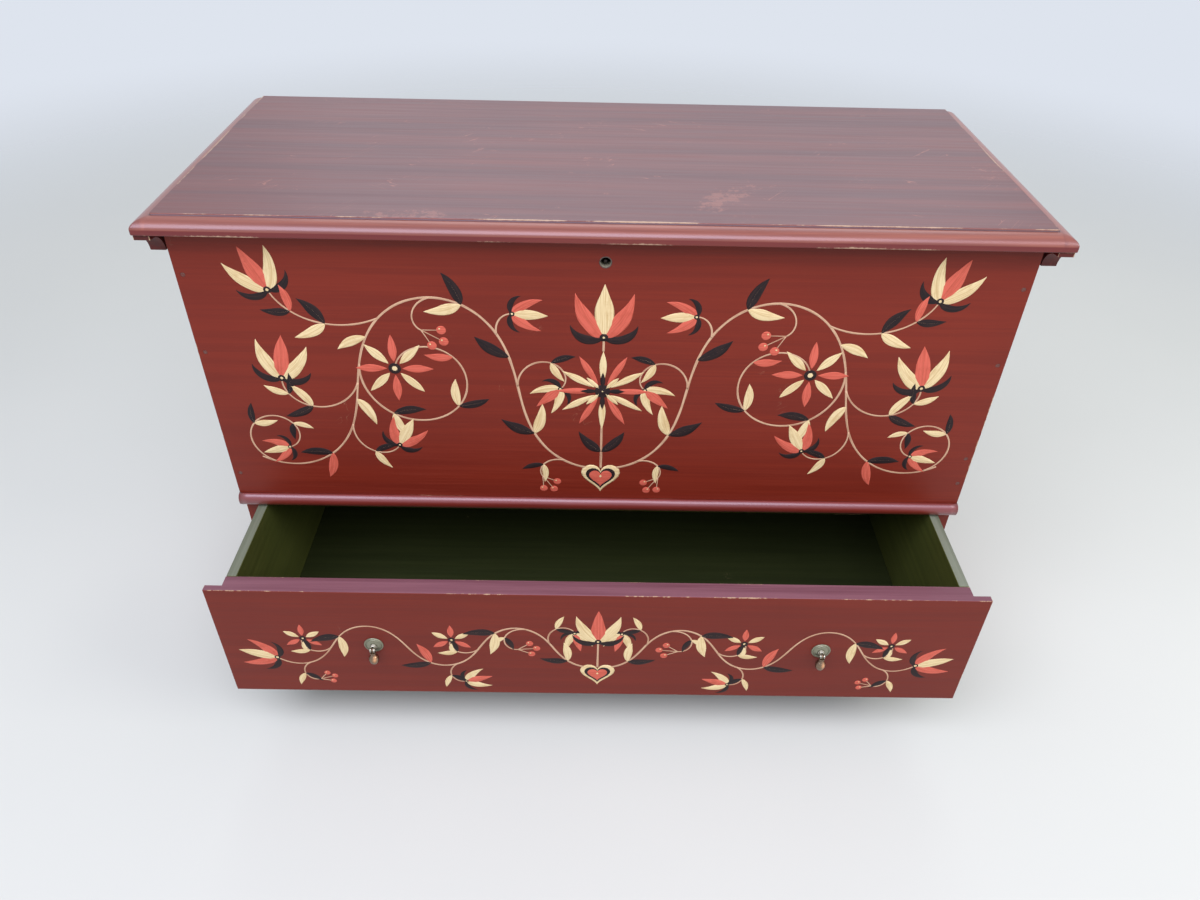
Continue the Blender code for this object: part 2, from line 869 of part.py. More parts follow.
def post_of(name, x):
    """Shank, collar and fork, with heights counted forward from the drawer's face."""
    collar_back = pull_plate_height + 2 * seat
    shank_end = -drawer_front_thickness - seat - nut_thickness - post_end
    profile = [
        (0, collar_front),
        (collar_radius, collar_front),
        (collar_radius, collar_back),
        (post_radius, collar_back),
        (post_radius, shank_end),
        (0, shank_end),
    ]
    post = turned(name, profile, (x, drawer_face, pull_height), "front", aged_brass)
    pin_y = drawer_face - pull_axis_reach
    block = box(
        name + "_block",
        (x - fork_half_width, pin_y, pull_height - fork_half_height),
        (x + fork_half_width, drawer_face - collar_back, pull_height + fork_half_height),
    )
    middle = (x, pin_y, pull_height)
    nose = rod(name + "_nose", fork_half_height, fork_half_width * 2, middle, "right")
    slot = box(
        name + "_slot",
        (x - slot_half_width, pin_y - overrun, pull_height - overrun),
        (x + slot_half_width, drawer_face - slot_back, pull_height + overrun),
    )
    pin = rod(name + "_pin", cross_pin_radius, fork_half_width * 2, middle, "right")
    shape_with(post, block, "UNION")
    shape_with(post, nose, "UNION")
    shape_with(post, slot)
    shape_with(post, pin, "UNION")
    return post


def drop_of(name, x):
    """Pear-shaped weight under a flat eye, with its origin on the eye's axis."""
    profile = [(r * drop_belly_radius, h * drop_length - drop_shoulder) for r, h in drop_shares]
    middle = Vector((x, drawer_face - pull_axis_reach, pull_height))
    drop = turned(name, profile, middle, "up", aged_brass)
    tongue = box(
        name + "_tongue",
        middle - Vector((tongue_half_width, eye_radius, drop_shoulder + collar_radius / 2)),
        middle + Vector((tongue_half_width, eye_radius, 0)),
    )
    eye = rod(name + "_eye", tongue_half_height, tongue_half_width * 2, middle, "right")
    hole = rod(name + "_hole", eye_radius, overrun, middle, "right")
    shape_with(drop, tongue, "UNION")
    shape_with(drop, eye, "UNION")
    shape_with(drop, hole)
    return drop


drops = {}
for word, side in (("left", -1), ("right", 1)):
    x = side * pull_spacing / 2
    post_hole = rod(
        "post_hole_" + word,
        post_hole_radius,
        drawer_front_thickness + 2 * overrun,
        (x, drawer_face + drawer_front_thickness / 2, pull_height),
        "front",
    )
    shape_with(drawer_front, post_hole)
    nut_front = drawer_body_front + seat
    nut = box(
        "pull_nut_" + word,
        (x - nut_half, nut_front, pull_height - nut_half),
        (x + nut_half, nut_front + nut_thickness, pull_height + nut_half),
        aged_brass,
    )
    nut_hole = rod("nut_hole_" + word, post_hole_radius, overrun * 2, nut.location, "front")
    shape_with(nut, nut_hole)
    drops[word] = drop_of("pull_drop_" + word, x)
    drawer_pieces += [plate_of("pull_plate_" + word, x), post_of("pull_post_" + word, x), nut]

drawer_slide = hang_on("drawer_slide", (0, drawer_face, foot_height), drawer_pieces)
for drop in drops.values():
    drop.parent = drawer_slide
    drop.matrix_parent_inverse = drawer_slide.matrix_basis.inverted()
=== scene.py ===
"""Painted blanket chest: the finish of its boards, its moulded lid and its metalwork.

Metres, +X to the right, +Y to the back and +Z up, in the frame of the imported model.
Each section makes one piece or group of like pieces, in the order in which the
chest is put together.
"""

import itertools
import math

import bmesh
import bpy
import numpy as np
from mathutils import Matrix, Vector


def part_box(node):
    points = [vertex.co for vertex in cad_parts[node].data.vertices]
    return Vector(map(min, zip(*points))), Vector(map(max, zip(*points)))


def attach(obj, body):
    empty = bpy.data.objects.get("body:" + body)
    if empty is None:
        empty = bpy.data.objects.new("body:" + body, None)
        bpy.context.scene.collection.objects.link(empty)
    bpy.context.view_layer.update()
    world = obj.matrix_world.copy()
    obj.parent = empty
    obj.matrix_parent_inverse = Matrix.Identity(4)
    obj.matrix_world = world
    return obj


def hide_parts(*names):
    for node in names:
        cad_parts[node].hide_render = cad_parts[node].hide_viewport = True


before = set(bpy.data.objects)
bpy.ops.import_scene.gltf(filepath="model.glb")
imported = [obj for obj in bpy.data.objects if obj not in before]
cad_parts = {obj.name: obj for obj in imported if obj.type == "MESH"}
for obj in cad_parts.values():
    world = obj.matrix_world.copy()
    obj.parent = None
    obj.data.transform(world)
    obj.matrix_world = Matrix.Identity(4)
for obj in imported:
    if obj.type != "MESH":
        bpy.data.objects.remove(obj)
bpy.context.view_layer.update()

# Camera: held at the middle of the chest and a step in front of it, looking down
# over the lid into the open drawer, with a wide lens and no shift.
camera_turn_degrees = (52.137, -1.082, 0.102)
camera_data = bpy.data.cameras.new("camera")
camera_data.lens = 27.03
camera_data.sensor_fit = "HORIZONTAL"
camera = bpy.data.objects.new("camera", camera_data)
camera.location = (-0.0152, -1.1910, 1.2651)
camera.rotation_euler = np.radians(camera_turn_degrees)
bpy.context.scene.collection.objects.link(camera)
bpy.context.scene.camera = camera
bpy.context.scene.view_settings.view_transform = "Standard"


# Studio floor: a plain pale sheet that keeps the chest's shadow and, far from it, fades
# into the pale room.
floor_half = 9.0
fade_start = 1.7
fade_end = 4.2


def hue(red, green, blue):
    """A linear colour from its 8-bit screen values."""
    shares = np.array((red, green, blue)) / 255
    linear = np.where(shares < 0.04, shares / 12.92, ((shares + 0.055) / 1.055) ** 2.4)
    return (*linear.tolist(), 1.0)


def feed(node, inputs):
    """Gives a node its inputs: values, or sockets of other nodes to link."""
    for name, value in inputs.items():
        if isinstance(value, bpy.types.NodeSocket):
            node.id_data.links.new(value, node.inputs[name])
        else:
            node.inputs[name].default_value = value


def add_node(kind, inputs=None, tree=None, **settings):
    """Adds a shader node with its settings and inputs, in the tree that its inputs are in."""
    linked = [value for value in (inputs or {}).values() if isinstance(value, bpy.types.NodeSocket)]
    made = (tree or linked[0].id_data).nodes.new("ShaderNode" + kind)
    for name, value in settings.items():
        setattr(made, name, value)
    feed(made, inputs or {})
    return made


def new_finish(name):
    """An empty material with its shader and its Object coordinates."""
    finish = bpy.data.materials.new(name)
    finish.use_nodes = True
    place = add_node("TexCoord", tree=finish.node_tree).outputs["Object"]
    return finish, finish.node_tree.nodes["Principled BSDF"], place


def noise(place, scale, detail=4.0, roughness=0.5, distortion=0.0):
    """Clouds from 0 to 1, so many of them to a metre."""
    inputs = {"Vector": place, "Scale": scale, "Detail": detail, "Roughness": roughness}
    return add_node("TexNoise", {**inputs, "Distortion": distortion}).outputs[0]


def mixed(share, below, above):
    """The colour below with the colour above laid on it by a share."""
    return add_node("Mix", {0: share, 6: below, 7: above}, data_type="RGBA").outputs[2]


def rising(value, low, high, least=0.0, most=1.0):
    """Goes smoothly from the least to the most while the value goes from low to high."""
    inputs = {"Value": value, 1: low, 2: high, 3: least, 4: most}
    return add_node("MapRange", inputs, interpolation_type="SMOOTHSTEP").outputs[0]


def vectors(operation, *given, output=0):
    """What one operation makes of the given places or directions."""
    return add_node("VectorMath", dict(enumerate(given)), operation=operation).outputs[output]


paper, shader, place = new_finish("floor_paper")
mottle = noise(place, 1.2)
tint = mixed(mottle, hue(208, 211, 206), hue(216, 218, 212))
fade = rising(vectors("LENGTH", place, output=1), fade_start, fade_end, 1.0, 0.0)
feed(shader, {"Base Color": tint, "Alpha": fade, "Roughness": 0.9, "Specular IOR Level": 0.1})
corners = [(-1, -1, 0), (1, -1, 0), (1, 1, 0), (-1, 1, 0)]
floor_mesh = bpy.data.meshes.new("studio_floor")
floor_mesh.from_pydata(np.array(corners) * floor_half, [], [(0, 1, 2, 3)])
floor_mesh.materials.append(paper)
studio_floor = bpy.data.objects.new("studio_floor", floor_mesh)
bpy.context.scene.collection.objects.link(studio_floor)


# Studio light: a long lamp high in front, whose gleam runs along the mouldings, weaker
# ones at the right and behind, and a pale room behind the chest.
room_light = 0.42
room_colour = hue(222, 228, 238)
lamps = {
    "lamp_front": ((-0.5, -1.9, 3.2), (4.4, 2.3), 148.0, (0.89, 0.88, 1.0)),
    "lamp_right": ((2.6, -1.2, 2.2), (1.6, 1.6), 34.0, (1.0, 0.96, 0.91)),
    "lamp_back": ((0.2, 2.3, 2.6), (3.2, 1.4), 22.0, (1.0, 0.99, 0.98)),
}
lamp_aim = np.array((0.0, 0.0, 0.45))


def maths(operation, first, second=0.0):
    """What one operation makes of one or two values."""
    return add_node("Math", {0: first, 1: second}, operation=operation).outputs[0]


world = bpy.data.worlds.new("studio")
bpy.context.scene.world = world
world.use_nodes = True
seen = add_node("LightPath", tree=world.node_tree).outputs
ambient = (0.95 * room_light, room_light, 1.08 * room_light, 1.0)
mirrored = maths("MAXIMUM", seen["Is Glossy Ray"], seen["Is Transmission Ray"])
in_sight = maths("MAXIMUM", seen["Is Camera Ray"], mirrored)
feed(world.node_tree.nodes["Background"], {"Color": mixed(in_sight, ambient, room_colour)})
for name, (spot, size, watts, tint) in lamps.items():
    lamp_data = bpy.data.lights.new(name, "AREA")
    lamp_data.color = tint
    lamp_data.shape = "RECTANGLE"
    lamp_data.size, lamp_data.size_y = size
    lamp_data.energy = watts
    lamp = bpy.data.objects.new(name, lamp_data)
    lamp.location = spot
    aim = lamp_aim - np.array(spot)
    level = np.hypot(aim[0], aim[1])
    lamp.rotation_euler = (math.atan2(level, -aim[2]), 0, math.atan2(-aim[0], aim[1]))
    bpy.context.scene.collection.objects.link(lamp)


# Side boards: pine, full height, with an arch between the feet, painted outside with
# upright strokes and left bare towards the chest. The arrises have worn through.
arris_ease = 0.0009
long_edge = 0.011
flat_turn = math.radians(0.6)
curve_turn = 0.02
shallow_turn = math.radians(32)
weld = 0.000004
coat_edge = 0.0004
coat_blur = 0.0002
red_coat = hue(122, 38, 22)
red_dark = hue(103, 30, 19)
red_light = hue(134, 50, 32)
worn_cream = hue(190, 160, 128)
pine_colours = (hue(158, 118, 74), hue(120, 82, 46), hue(186, 148, 100))


def effect_group(name, inputs, outputs):
    """A node group with named sockets, those sockets inside it, and its end node."""
    group = bpy.data.node_groups.new(name, "ShaderNodeTree")
    kinds = {"Position": "Vector", "Low": "Vector", "High": "Vector", "Color": "Color"}
    for direction, titles in (("INPUT", inputs), ("OUTPUT", outputs)):
        for title in titles.split():
            kind = "NodeSocket" + kinds.get(title, "Float")
            group.interface.new_socket(title, in_out=direction, socket_type=kind)
    given = group.nodes.new("NodeGroupInput").outputs
    return group, [given[title] for title in inputs.split()], group.nodes.new("NodeGroupOutput")


def scaled(place, along, across):
    """The place with its first axis scaled one way and the other two another way."""
    factors = add_node("CombineXYZ", {0: along, 1: across, 2: across}, place.id_data)
    return vectors("MULTIPLY", place, factors.outputs[0])


def times(first, second):
    """The product of two values."""
    return maths("MULTIPLY", first, second)


def laid(value, low, high, most, below, above):
    """The colour below with the one above laid on it, up to a share, where a value is high."""
    return mixed(rising(value, low, high, 0.0, most), below, above)


def blended(share, first, second):
    """The first value with the second laid on it by a share."""
    return add_node("Mix", {0: share, 2: first, 3: second}).outputs[0]


# Long strokes of a coarse brush: stretched noise, with finer hairs of the brush in it.
brush_strokes, (place, along, across), result = effect_group(
    "brush_strokes", "Position Along Across", "Stroke Hair"
)
broad = noise(scaled(place, along, across), 1.0, 5.0, 0.6, 0.35)
hair = noise(scaled(place, times(along, 4.0), times(across, 6.0)), 1.0, 3.0, 0.6, 0.2)
feed(result, {"Stroke": rising(blended(0.3, broad, hair), 0.36, 0.64), "Hair": hair})

# Worn arrises of a square board: the least sum of two of its depths below its faces
# is the way to the nearest arris, and noise makes the worn strip ragged.
arris_wear, (place, low, high, width, gaps), result = effect_group(
    "arris_wear", "Position Low High Width Gaps", "Worn"
)
depths = vectors("MINIMUM", vectors("SUBTRACT", place, low), vectors("SUBTRACT", high, place))
depth = add_node("SeparateXYZ", {0: depths}).outputs
sums = [maths("ADD", depth[a], depth[b]) for a, b in ((0, 1), (1, 2), (0, 2))]
way = maths("MINIMUM", maths("MINIMUM", sums[0], sums[1]), sums[2])
chip = noise(place, 160.0, 6.0, 0.7)
run = noise(place, 7.0, 5.0, 0.65)
reach = times(width, rising(run, gaps, 0.75, 0.15, 2.2))
share = maths("DIVIDE", way, reach)
ragged = maths("ADD", share, times(maths("SUBTRACT", chip, 0.5), 2.4))
feed(result, {"Worn": rising(ragged, 0.9, 0.55)})

# Rubbed spots: patches where the paint has gone thin, with a finely broken rim.
rubbed_spots, (place, scale, level), result = effect_group(
    "rubbed_spots", "Position Scale Level", "Rubbed"
)
patch = noise(place, scale, 2.0, 0.5, 0.6)
crumbs = noise(place, times(scale, 12.0), 5.0, 0.75)
rim = maths("ADD", level, 0.05)
feed(result, {"Rubbed": rising(blended(0.38, patch, crumbs), level, rim)})

# Scratches: thin level lines of a stretched noise, shown only where a coarse one is high.
fine_scratches, (place, scale, level), result = effect_group(
    "fine_scratches", "Position Scale Level", "Scratch"
)
lines = noise(scaled(place, scale, times(scale, 9.0)), 1.0, 1.0, 0.5, 0.4)
offset = maths("ABSOLUTE", maths("SUBTRACT", lines, 0.5))
shown = noise(place, times(scale, 1.7), 2.0)
rim = maths("ADD", level, 0.06)
feed(result, {"Scratch": times(rising(offset, 0.006, 0.002), rising(shown, level, rim))})

# Bare pine: soft growth rings drawn out along the board, with darker late wood.
bare_grain, (place,), result = effect_group("bare_grain", "Position", "Color Ring")
slow = noise(scaled(place, 0.9, 9.0), 1.0, 2.0, 0.5, 0.8)
late = rising(maths("PINGPONG", times(slow, 16.0), 1.0), 0.55, 1.0)
hairs = noise(scaled(place, 8.0, 420.0), 1.0, 3.0, 0.6)
wood = mixed(times(late, 0.55), pine_colours[0], pine_colours[1])
wood = laid(hairs, 0.4, 0.75, 0.5, wood, pine_colours[2])
feed(result, {"Color": wood, "Ring": late})


def effect(group, **inputs):
    """One use of a node group, with its named inputs, and its outputs."""
    return add_node("Group", inputs, node_tree=group).outputs


def corners_of(node):
    """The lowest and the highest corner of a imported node."""
    return np.array(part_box(node))


def worn_arrises(place, node, width, gaps):
    """Where the arrises of a packed square board have worn through."""
    low, high = corners_of(node)
    return effect(arris_wear, Position=place, Low=low, High=high, Width=width, Gaps=gaps)["Worn"]


def turned_place(place, turn, shift=(0, 0, 0)):
    """The place in a frame that is turned, and shifted so that no two boards are alike."""
    inputs = {"Vector": place, "Rotation": np.radians(turn), "Location": shift}
    return add_node("Mapping", inputs).outputs[0]


def dress(shader, colour, rough, height, relief, others):
    """Gives a finish its colour, roughness and more, and raises it by a height times a relief."""
    feed(shader, {"Base Color": colour, "Roughness": rough, **others})
    feed(shader, {"Normal": add_node("Bump", {"Height": height, "Distance": relief}).outputs[0]})


def painted_board(
    node, colours=(red_coat, red_dark, red_light), turn=(0, 0, 0), wear=(0.0016, 0.46), other_faces=()
):
    """Brushed oil paint over pine: strokes, worn arrises, thin spots and scratches.

    Each of the other faces is an axis, the face's place on it, and the coat and dark
    colours of that face. Without colours, it is bare pine.
    """
    coat, dark, light = colours
    finish, shader, place = new_finish(node + "_paint")
    along = turned_place(place, turn)
    strokes = effect(brush_strokes, Position=along, Along=1.4, Across=60.0)
    colour = mixed(rising(strokes["Stroke"], 0.0, 1.0, 0.5), dark, coat)
    colour = laid(strokes["Hair"], 0.45, 0.8, 0.35, colour, light)
    colour = laid(noise(place, 3.1, 3.0, 0.5), 0.42, 0.72, 0.3, colour, dark)
    spots = effect(rubbed_spots, Position=along, Scale=11.0, Level=0.67)["Rubbed"]
    colour = mixed(times(spots, 0.4), colour, light)
    tilted = turned_place(place, (20, 35, 50))
    scratch = effect(fine_scratches, Position=tilted, Scale=9.0, Level=0.69)["Scratch"]
    colour = mixed(times(scratch, 0.35), colour, worn_cream)
    worn = worn_arrises(place, node, *wear)
    for axis, face, tones in other_faces:
        if tones:
            base = mixed(strokes["Stroke"], tones[1], tones[0])
        else:
            base = effect(bare_grain, Position=along)["Color"]
        level = vectors("DOT_PRODUCT", place, axis, output=1)
        start = face - coat_edge
        colour = mixed(rising(level, start - coat_blur, start + coat_blur), colour, base)
    colour = mixed(times(worn, 0.8), colour, worn_cream)
    height = maths("SUBTRACT", strokes["Hair"], times(worn, 0.8))
    rough = rising(strokes["Hair"], 0.2, 0.9, 0.40, 0.58)
    dress(shader, colour, rough, height, 0.00012, {"Specular IOR Level": 0.28})
    return finish


def eased_board(node, finish, ease):
    """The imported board's own shape, with its long outer arrises rounded over.

    The loose triangles are merged, flat ones joined, and each long convex edge gets a
    strip of three narrow faces; only those strips and curved faces shade smooth.
    """
    shape = bmesh.new()
    shape.from_mesh(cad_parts[node].data)
    bmesh.ops.remove_doubles(shape, verts=shape.verts, dist=weld)
    bmesh.ops.dissolve_limit(shape, angle_limit=flat_turn, verts=shape.verts, edges=shape.edges)
    turns = {edge: edge.calc_face_angle_signed(0.0) for edge in shape.edges}
    bent = {edge for edge, turn in turns.items() if curve_turn < abs(turn) < shallow_turn}
    curved = [face for face in shape.faces if bent.intersection(face.edges)]
    arrises = [e for e, turn in turns.items() if turn > shallow_turn and e.calc_length() > long_edge]
    strips = bmesh.ops.bevel(
        shape, geom=arrises, offset=ease, segments=3, profile=0.5, affect="EDGES", clamp_overlap=True
    )["faces"]
    for face in curved + strips:
        if face.is_valid:
            face.smooth = True
    for edge in shape.edges:
        edge.smooth = abs(edge.calc_face_angle_signed(0.0)) < shallow_turn
    mesh = bpy.data.meshes.new(node + "_finished")
    shape.to_mesh(mesh)
    shape.free()
    mesh.materials.append(finish)
    return mesh


def put_in(mesh, body, node=None):
    """Adds a piece, named as its mesh, that rides on its body and may stand for a node."""
    piece = bpy.data.objects.new(mesh.name, mesh)
    bpy.context.scene.collection.objects.link(piece)
    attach(piece, body)
    if node:
        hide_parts(node)


def put_board(node, finish, body, ease=arris_ease):
    """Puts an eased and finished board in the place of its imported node."""
    put_in(eased_board(node, finish, ease), body, node)


inner_face = corners_of("side_board_right")[0][0]
upright = (0, 90, 0)
front_to_back = (0, 0, 90)
for side, word in ((-1, "left"), (1, "right")):
    node = "side_board_" + word
    inward = ((-side, 0, 0), -inner_face, None)
    put_board(node, painted_board(node, turn=upright, other_faces=[inward]), "case")


# Back boards and floor of the chest: wide bare pine boards, nailed on and let in, gone
# brown with age and dust.
dust = hue(120, 108, 90)
old_arris = hue(72, 50, 30)
rough_ease = 0.0014


def bare_board(node, shade, turn=(0, 0, 0), shift=(0, 0, 0)):
    """Unpainted pine: growth rings, dust in the pores and darkened handled arrises."""
    finish, shader, place = new_finish(node + "_pine")
    along = turned_place(place, turn, shift)
    grain = effect(bare_grain, Position=along)
    grime = noise(place, 6.0, 6.0, 0.6)
    colour = mixed(rising(grime, 0.35, 0.75, shade * 0.4, shade), grain["Color"], dust)
    worn = worn_arrises(place, node, 0.002, 0.4)
    colour = mixed(times(worn, 0.7), colour, old_arris)
    dress(shader, colour, 0.72, grain["Ring"], 0.00015, {"Specular IOR Level": 0.3})
    return finish


for node, shade, shift in (
    ("back_board_upper", 0.5, 0.0),
    ("back_board_lower", 0.55, 3.7),
    ("chest_bottom", 0.2, 1.9),
):
    put_board(node, bare_board(node, shade, shift=(shift, 0, shift)), "case", rough_ease)


# Front board: one wide pine board lapped over the sides and nailed, with level strokes
# outside. The sunk heads of its nails have rusted through the paint.
nail_grey = hue(96, 74, 66)
inward = ((0, 1, 0), corners_of("front_board")[1][1], None)
put_board("front_board", painted_board("front_board", other_faces=[inward]), "case")

nail_finish, shader, place = new_finish("nail_paint")
rust = noise(place, 900.0, 4.0, 0.7)
colour = mixed(rising(rust, 0.35, 0.65), red_dark, nail_grey)
dress(shader, colour, 0.55, rust, 0.0002, {})


def refinish(starts, finish):
    """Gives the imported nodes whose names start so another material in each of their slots."""
    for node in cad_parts:
        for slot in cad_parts[node].material_slots if node.startswith(starts) else ():
            slot.material = finish


refinish("front_nail", nail_finish)


# Waist moulding: a half-round pine strip bradded along the foot of the front board,
# painted with it.
moulding_low, moulding_high = corners_of("waist_moulding")
moulding_rounds = 18
moulding_runs = 90
wax_ior = 1.75
coat_ior = 1.6
# Painted reflection colour: the lamps' gleam on the waxed mouldings is tinted lavender-blue to stand for a
# blue sky's reflection.
sky_gleam_tint = (0.74, 0.74, 1.0, 1.0)


def grid_faces(rows, columns, hoop):
    """Quads between neighbouring rows of a grid whose columns run round and close.

    In a hoop the last row joins the first.
    """
    steps = np.arange(rows if hoop else rows - 1)
    row, column = np.meshgrid(steps, np.arange(columns), indexing="ij")
    beside = (column + 1) % columns
    above = (row + 1) % rows
    corners = (
        row * columns + column,
        row * columns + beside,
        above * columns + beside,
        above * columns + column,
    )
    return np.stack(corners, axis=-1).reshape(-1, 4)


def grown_mesh(name, shells, finish, hoops=(), marks=None, smooth_caps=False):
    """One mesh of closed bodies, each of them rings of points (rows, columns, 3).

    A shell is capped at its first and last ring; the rings of a hoop close up instead.
    Rings run anticlockwise seen from the last one's end, so that faces look outwards.
    Marks are values or vectors for its points, for a material to read.
    """
    grids = [*shells, *hoops]
    faces, smooth, base = [], [], 0
    for number, grid in enumerate(grids):
        rows, columns = grid.shape[:2]
        hoop = number >= len(shells)
        quads = (grid_faces(rows, columns, hoop) + base).tolist()
        caps = [] if hoop else [
            (base + np.arange(columns))[::-1].tolist(),
            (base + np.arange((rows - 1) * columns, rows * columns)).tolist(),
        ]
        faces += quads + caps
        smooth += [True] * len(quads) + [smooth_caps] * len(caps)
        base += rows * columns
    mesh = bpy.data.meshes.new(name)
    mesh.from_pydata(np.concatenate([grid.reshape(-1, 3) for grid in grids]), [], faces)
    mesh.polygons.foreach_set("use_smooth", smooth)
    for title, values in (marks or {}).items():
        kind, field = ("FLOAT_VECTOR", "vector") if values.shape[-1] == 3 else ("FLOAT", "value")
        mark = mesh.attributes.new(title, kind, "POINT")
        mark.data.foreach_set(field, values.astype(np.float32).ravel())
    mesh.materials.append(finish)
    return mesh


def points_of(*coordinates):
    """Points from their coordinates, each of them spread over the same grid."""
    return np.stack(np.broadcast_arrays(*coordinates), axis=-1)


def moulding_rings():
    """Rings at places x: y = back - reach sin(t) ** 0.85 and z = middle + half cos(t), with
    t from 0 to a half turn, and a wave of a fifth of a millimetre along the strip."""
    turn = np.linspace(0, np.pi, moulding_rounds + 1)[None, :]
    x = np.linspace(moulding_low[0], moulding_high[0], moulding_runs + 1)[:, None]
    reach = moulding_high[1] - moulding_low[1]
    half = (moulding_high[2] - moulding_low[2]) / 2
    wave = 1 - 0.018 * (1 + np.sin(23 * x + 2 * np.sin(9 * x)))
    y = moulding_high[1] - reach * np.sin(turn) ** 0.85 * wave
    return points_of(x, y, (moulding_low[2] + moulding_high[2]) / 2 + half * np.cos(turn))


moulding_paint = painted_board("waist_moulding", wear=(0.0012, 0.5))
wax_and_sky_tint = {"Specular IOR Level": 0.5, "IOR": wax_ior, "Specular Tint": sky_gleam_tint}
gleam = {"Coat Weight": 0.8, "Coat Roughness": 0.3, "Coat IOR": coat_ior}
feed(moulding_paint.node_tree.nodes["Principled BSDF"], {**wax_and_sky_tint, **gleam})
moulding = grown_mesh("waist_moulding_finished", [moulding_rings()], moulding_paint)
put_in(moulding, "case", "waist_moulding")


# Rail and runners under the drawer: the rail is painted with the front, the runners
# are bare pine and carry the drawer.
put_board("drawer_rail", painted_board("drawer_rail"), "case")
for node in ("runner_left", "runner_right"):
    put_board(node, bare_board(node, 0.2, front_to_back), "case")


# Lock, hinges and screws: wrought iron gone brown-black, with bright rubbed spots on
# the bolt and the strike, which slide on each other.
iron_dark = hue(52, 46, 42)
iron_rust = hue(92, 62, 44)
iron_rubbed = hue(128, 122, 114)


def old_metal(name, ground, bloom, rubbed, metal, rough):
    """Tarnished metal: a bloom of rust or verdigris, and bright where it is handled."""
    finish, shader, place = new_finish(name)
    pits = noise(place, 240.0, 6.0, 0.7)
    colour = laid(noise(place, 40.0, 4.0, 0.6), 0.48, 0.7, 0.7, ground, bloom)
    colour = laid(pits, 0.55, 0.8, 0.5, colour, rubbed)
    dulled = rising(pits, 0.3, 0.8, rough, rough - 0.18)
    dress(shader, colour, dulled, pits, 0.00012, {"Metallic": metal})
    return finish


iron = old_metal("old_iron", iron_dark, iron_rust, iron_rubbed, 0.75, 0.6)
iron_grey = hue(104, 100, 94)
iron_bright = hue(168, 164, 156)
rubbed_iron = old_metal("rubbed_iron", iron_grey, iron_rust, iron_bright, 0.9, 0.42)
refinish(("hinge", "lock_case", "lock_cover", "lock_screw", "cleat_screw", "key_pin"), iron)
refinish(("lock_bolt", "lock_strike"), rubbed_iron)

# The keyhole's liner: a brass ring driven into the front board, its lip worn round.
liner_low, liner_high = corners_of("keyhole_liner")
liner_wall = 0.0012
liner_ease = 0.0005
liner_brass, shader, place = new_finish("liner_brass")
level = add_node("SeparateXYZ", {0: place}).outputs["Y"]
bore = rising(level, liner_low[1] + 0.0003, liner_low[1] + 0.0012)
tarnish = noise(place, 420.0, 4.0, 0.65)
rim_colour = mixed(tarnish, hue(66, 52, 48), hue(128, 112, 102))
# Painted light: the bore is a much paler brass than the rim, standing for the light that falls into it.
bore_lit_colour = mixed(tarnish, hue(150, 150, 126), hue(214, 206, 182))
brass_colour = mixed(bore, rim_colour, bore_lit_colour)
dress(shader, brass_colour, 0.45, tarnish, 0.00005, {"Metallic": 0.15})


def turned_rings(profile, centre, axis, count=64):
    """Rings of a turned piece: each (radius, height) of its profile goes once round an axis.

    A front axis points along -Y, a right axis along +X and an up axis along +Z.
    """
    turn = np.linspace(0, 2 * np.pi, count, endpoint=False)
    profile = np.asarray(profile, float)
    radius, height = profile[:, :1], profile[:, 1:]
    first, second = radius * np.cos(turn), radius * np.sin(turn)
    turned = {"front": (first, -height, second), "right": (height, first, second)}
    return points_of(*turned.get(axis, (first, second, height))) + centre


def hoop_rings(section, centre, axis):
    """A turned piece as copies of its closed section, one after the other round the axis."""
    return turned_rings(section, centre, axis).swapaxes(0, 1)


def quarter_round(count):
    """How far a round corner of radius one stays from each of its two sides along the turn."""
    turn = np.linspace(0, np.pi / 2, count)
    return 1 - np.sin(turn), 1 - np.cos(turn)


def ring_section(inner, outer, back, front, ease):
    """A rectangle of (radius, forward) points, its two front corners eased round."""
    falling, growing = quarter_round(6)
    lip_in = points_of(inner + ease * falling, front - ease * growing)
    lip_out = points_of(outer - ease * growing, front - ease * falling)
    return np.concatenate(([(inner, back)], lip_in[::-1], lip_out[::-1], [(outer, back)]))


radius, depth = (liner_high - liner_low)[:2] / 2
section = ring_section(radius - liner_wall, radius, -depth, depth, liner_ease)
section = hoop_rings(section, (liner_low + liner_high) / 2, "front")
liner = grown_mesh("keyhole_liner_turned", (), liner_brass, [section])
put_in(liner, "case", "keyhole_liner")


# Lid: one pine board. Its front and ends carry a quirk, an ovolo and a plain band,
# run with moulding planes and mitred at the corners; the paint is thin and waxed.
lid_low, lid_high = corners_of("lid_board")
edge_width = 0.0208
quirk_depth = 0.0026
round_foot = 0.0144
lower_arris = 0.0012
quirk_arris = 0.0006
lid_corner = 0.0022
mortise_step = 0.0003
bare_inset = 0.0268
under_insets = (0.034, bare_inset + 0.0003, bare_inset, 0.006)
top_insets = (edge_width + 0.004, edge_width + 0.02)
rear_gap = 0.0008


def lid_profile():
    """(inset, height) from the bare underside up: a quarter round arris, the band, an
    elliptic quarter round that leans back to the quirk, and the quirk's own arris."""
    bottom, top = lid_low[2] + mortise_step, lid_high[2]
    falling, growing = quarter_round(5)
    under = [(inset, bottom) for inset in under_insets]
    arris = points_of(lower_arris * falling, bottom + lower_arris * growing)
    lean = np.linspace(0, np.pi / 2, 17)
    rise = (round_foot - quirk_depth) * np.sin(lean)
    ovolo = points_of(edge_width * (1 - np.cos(lean)), top - round_foot + rise)
    quirk = points_of(edge_width + quirk_arris * growing, top - quirk_arris * falling)
    flat = [(inset, top) for inset in top_insets]
    return np.concatenate((under, arris, ovolo, quirk, flat))


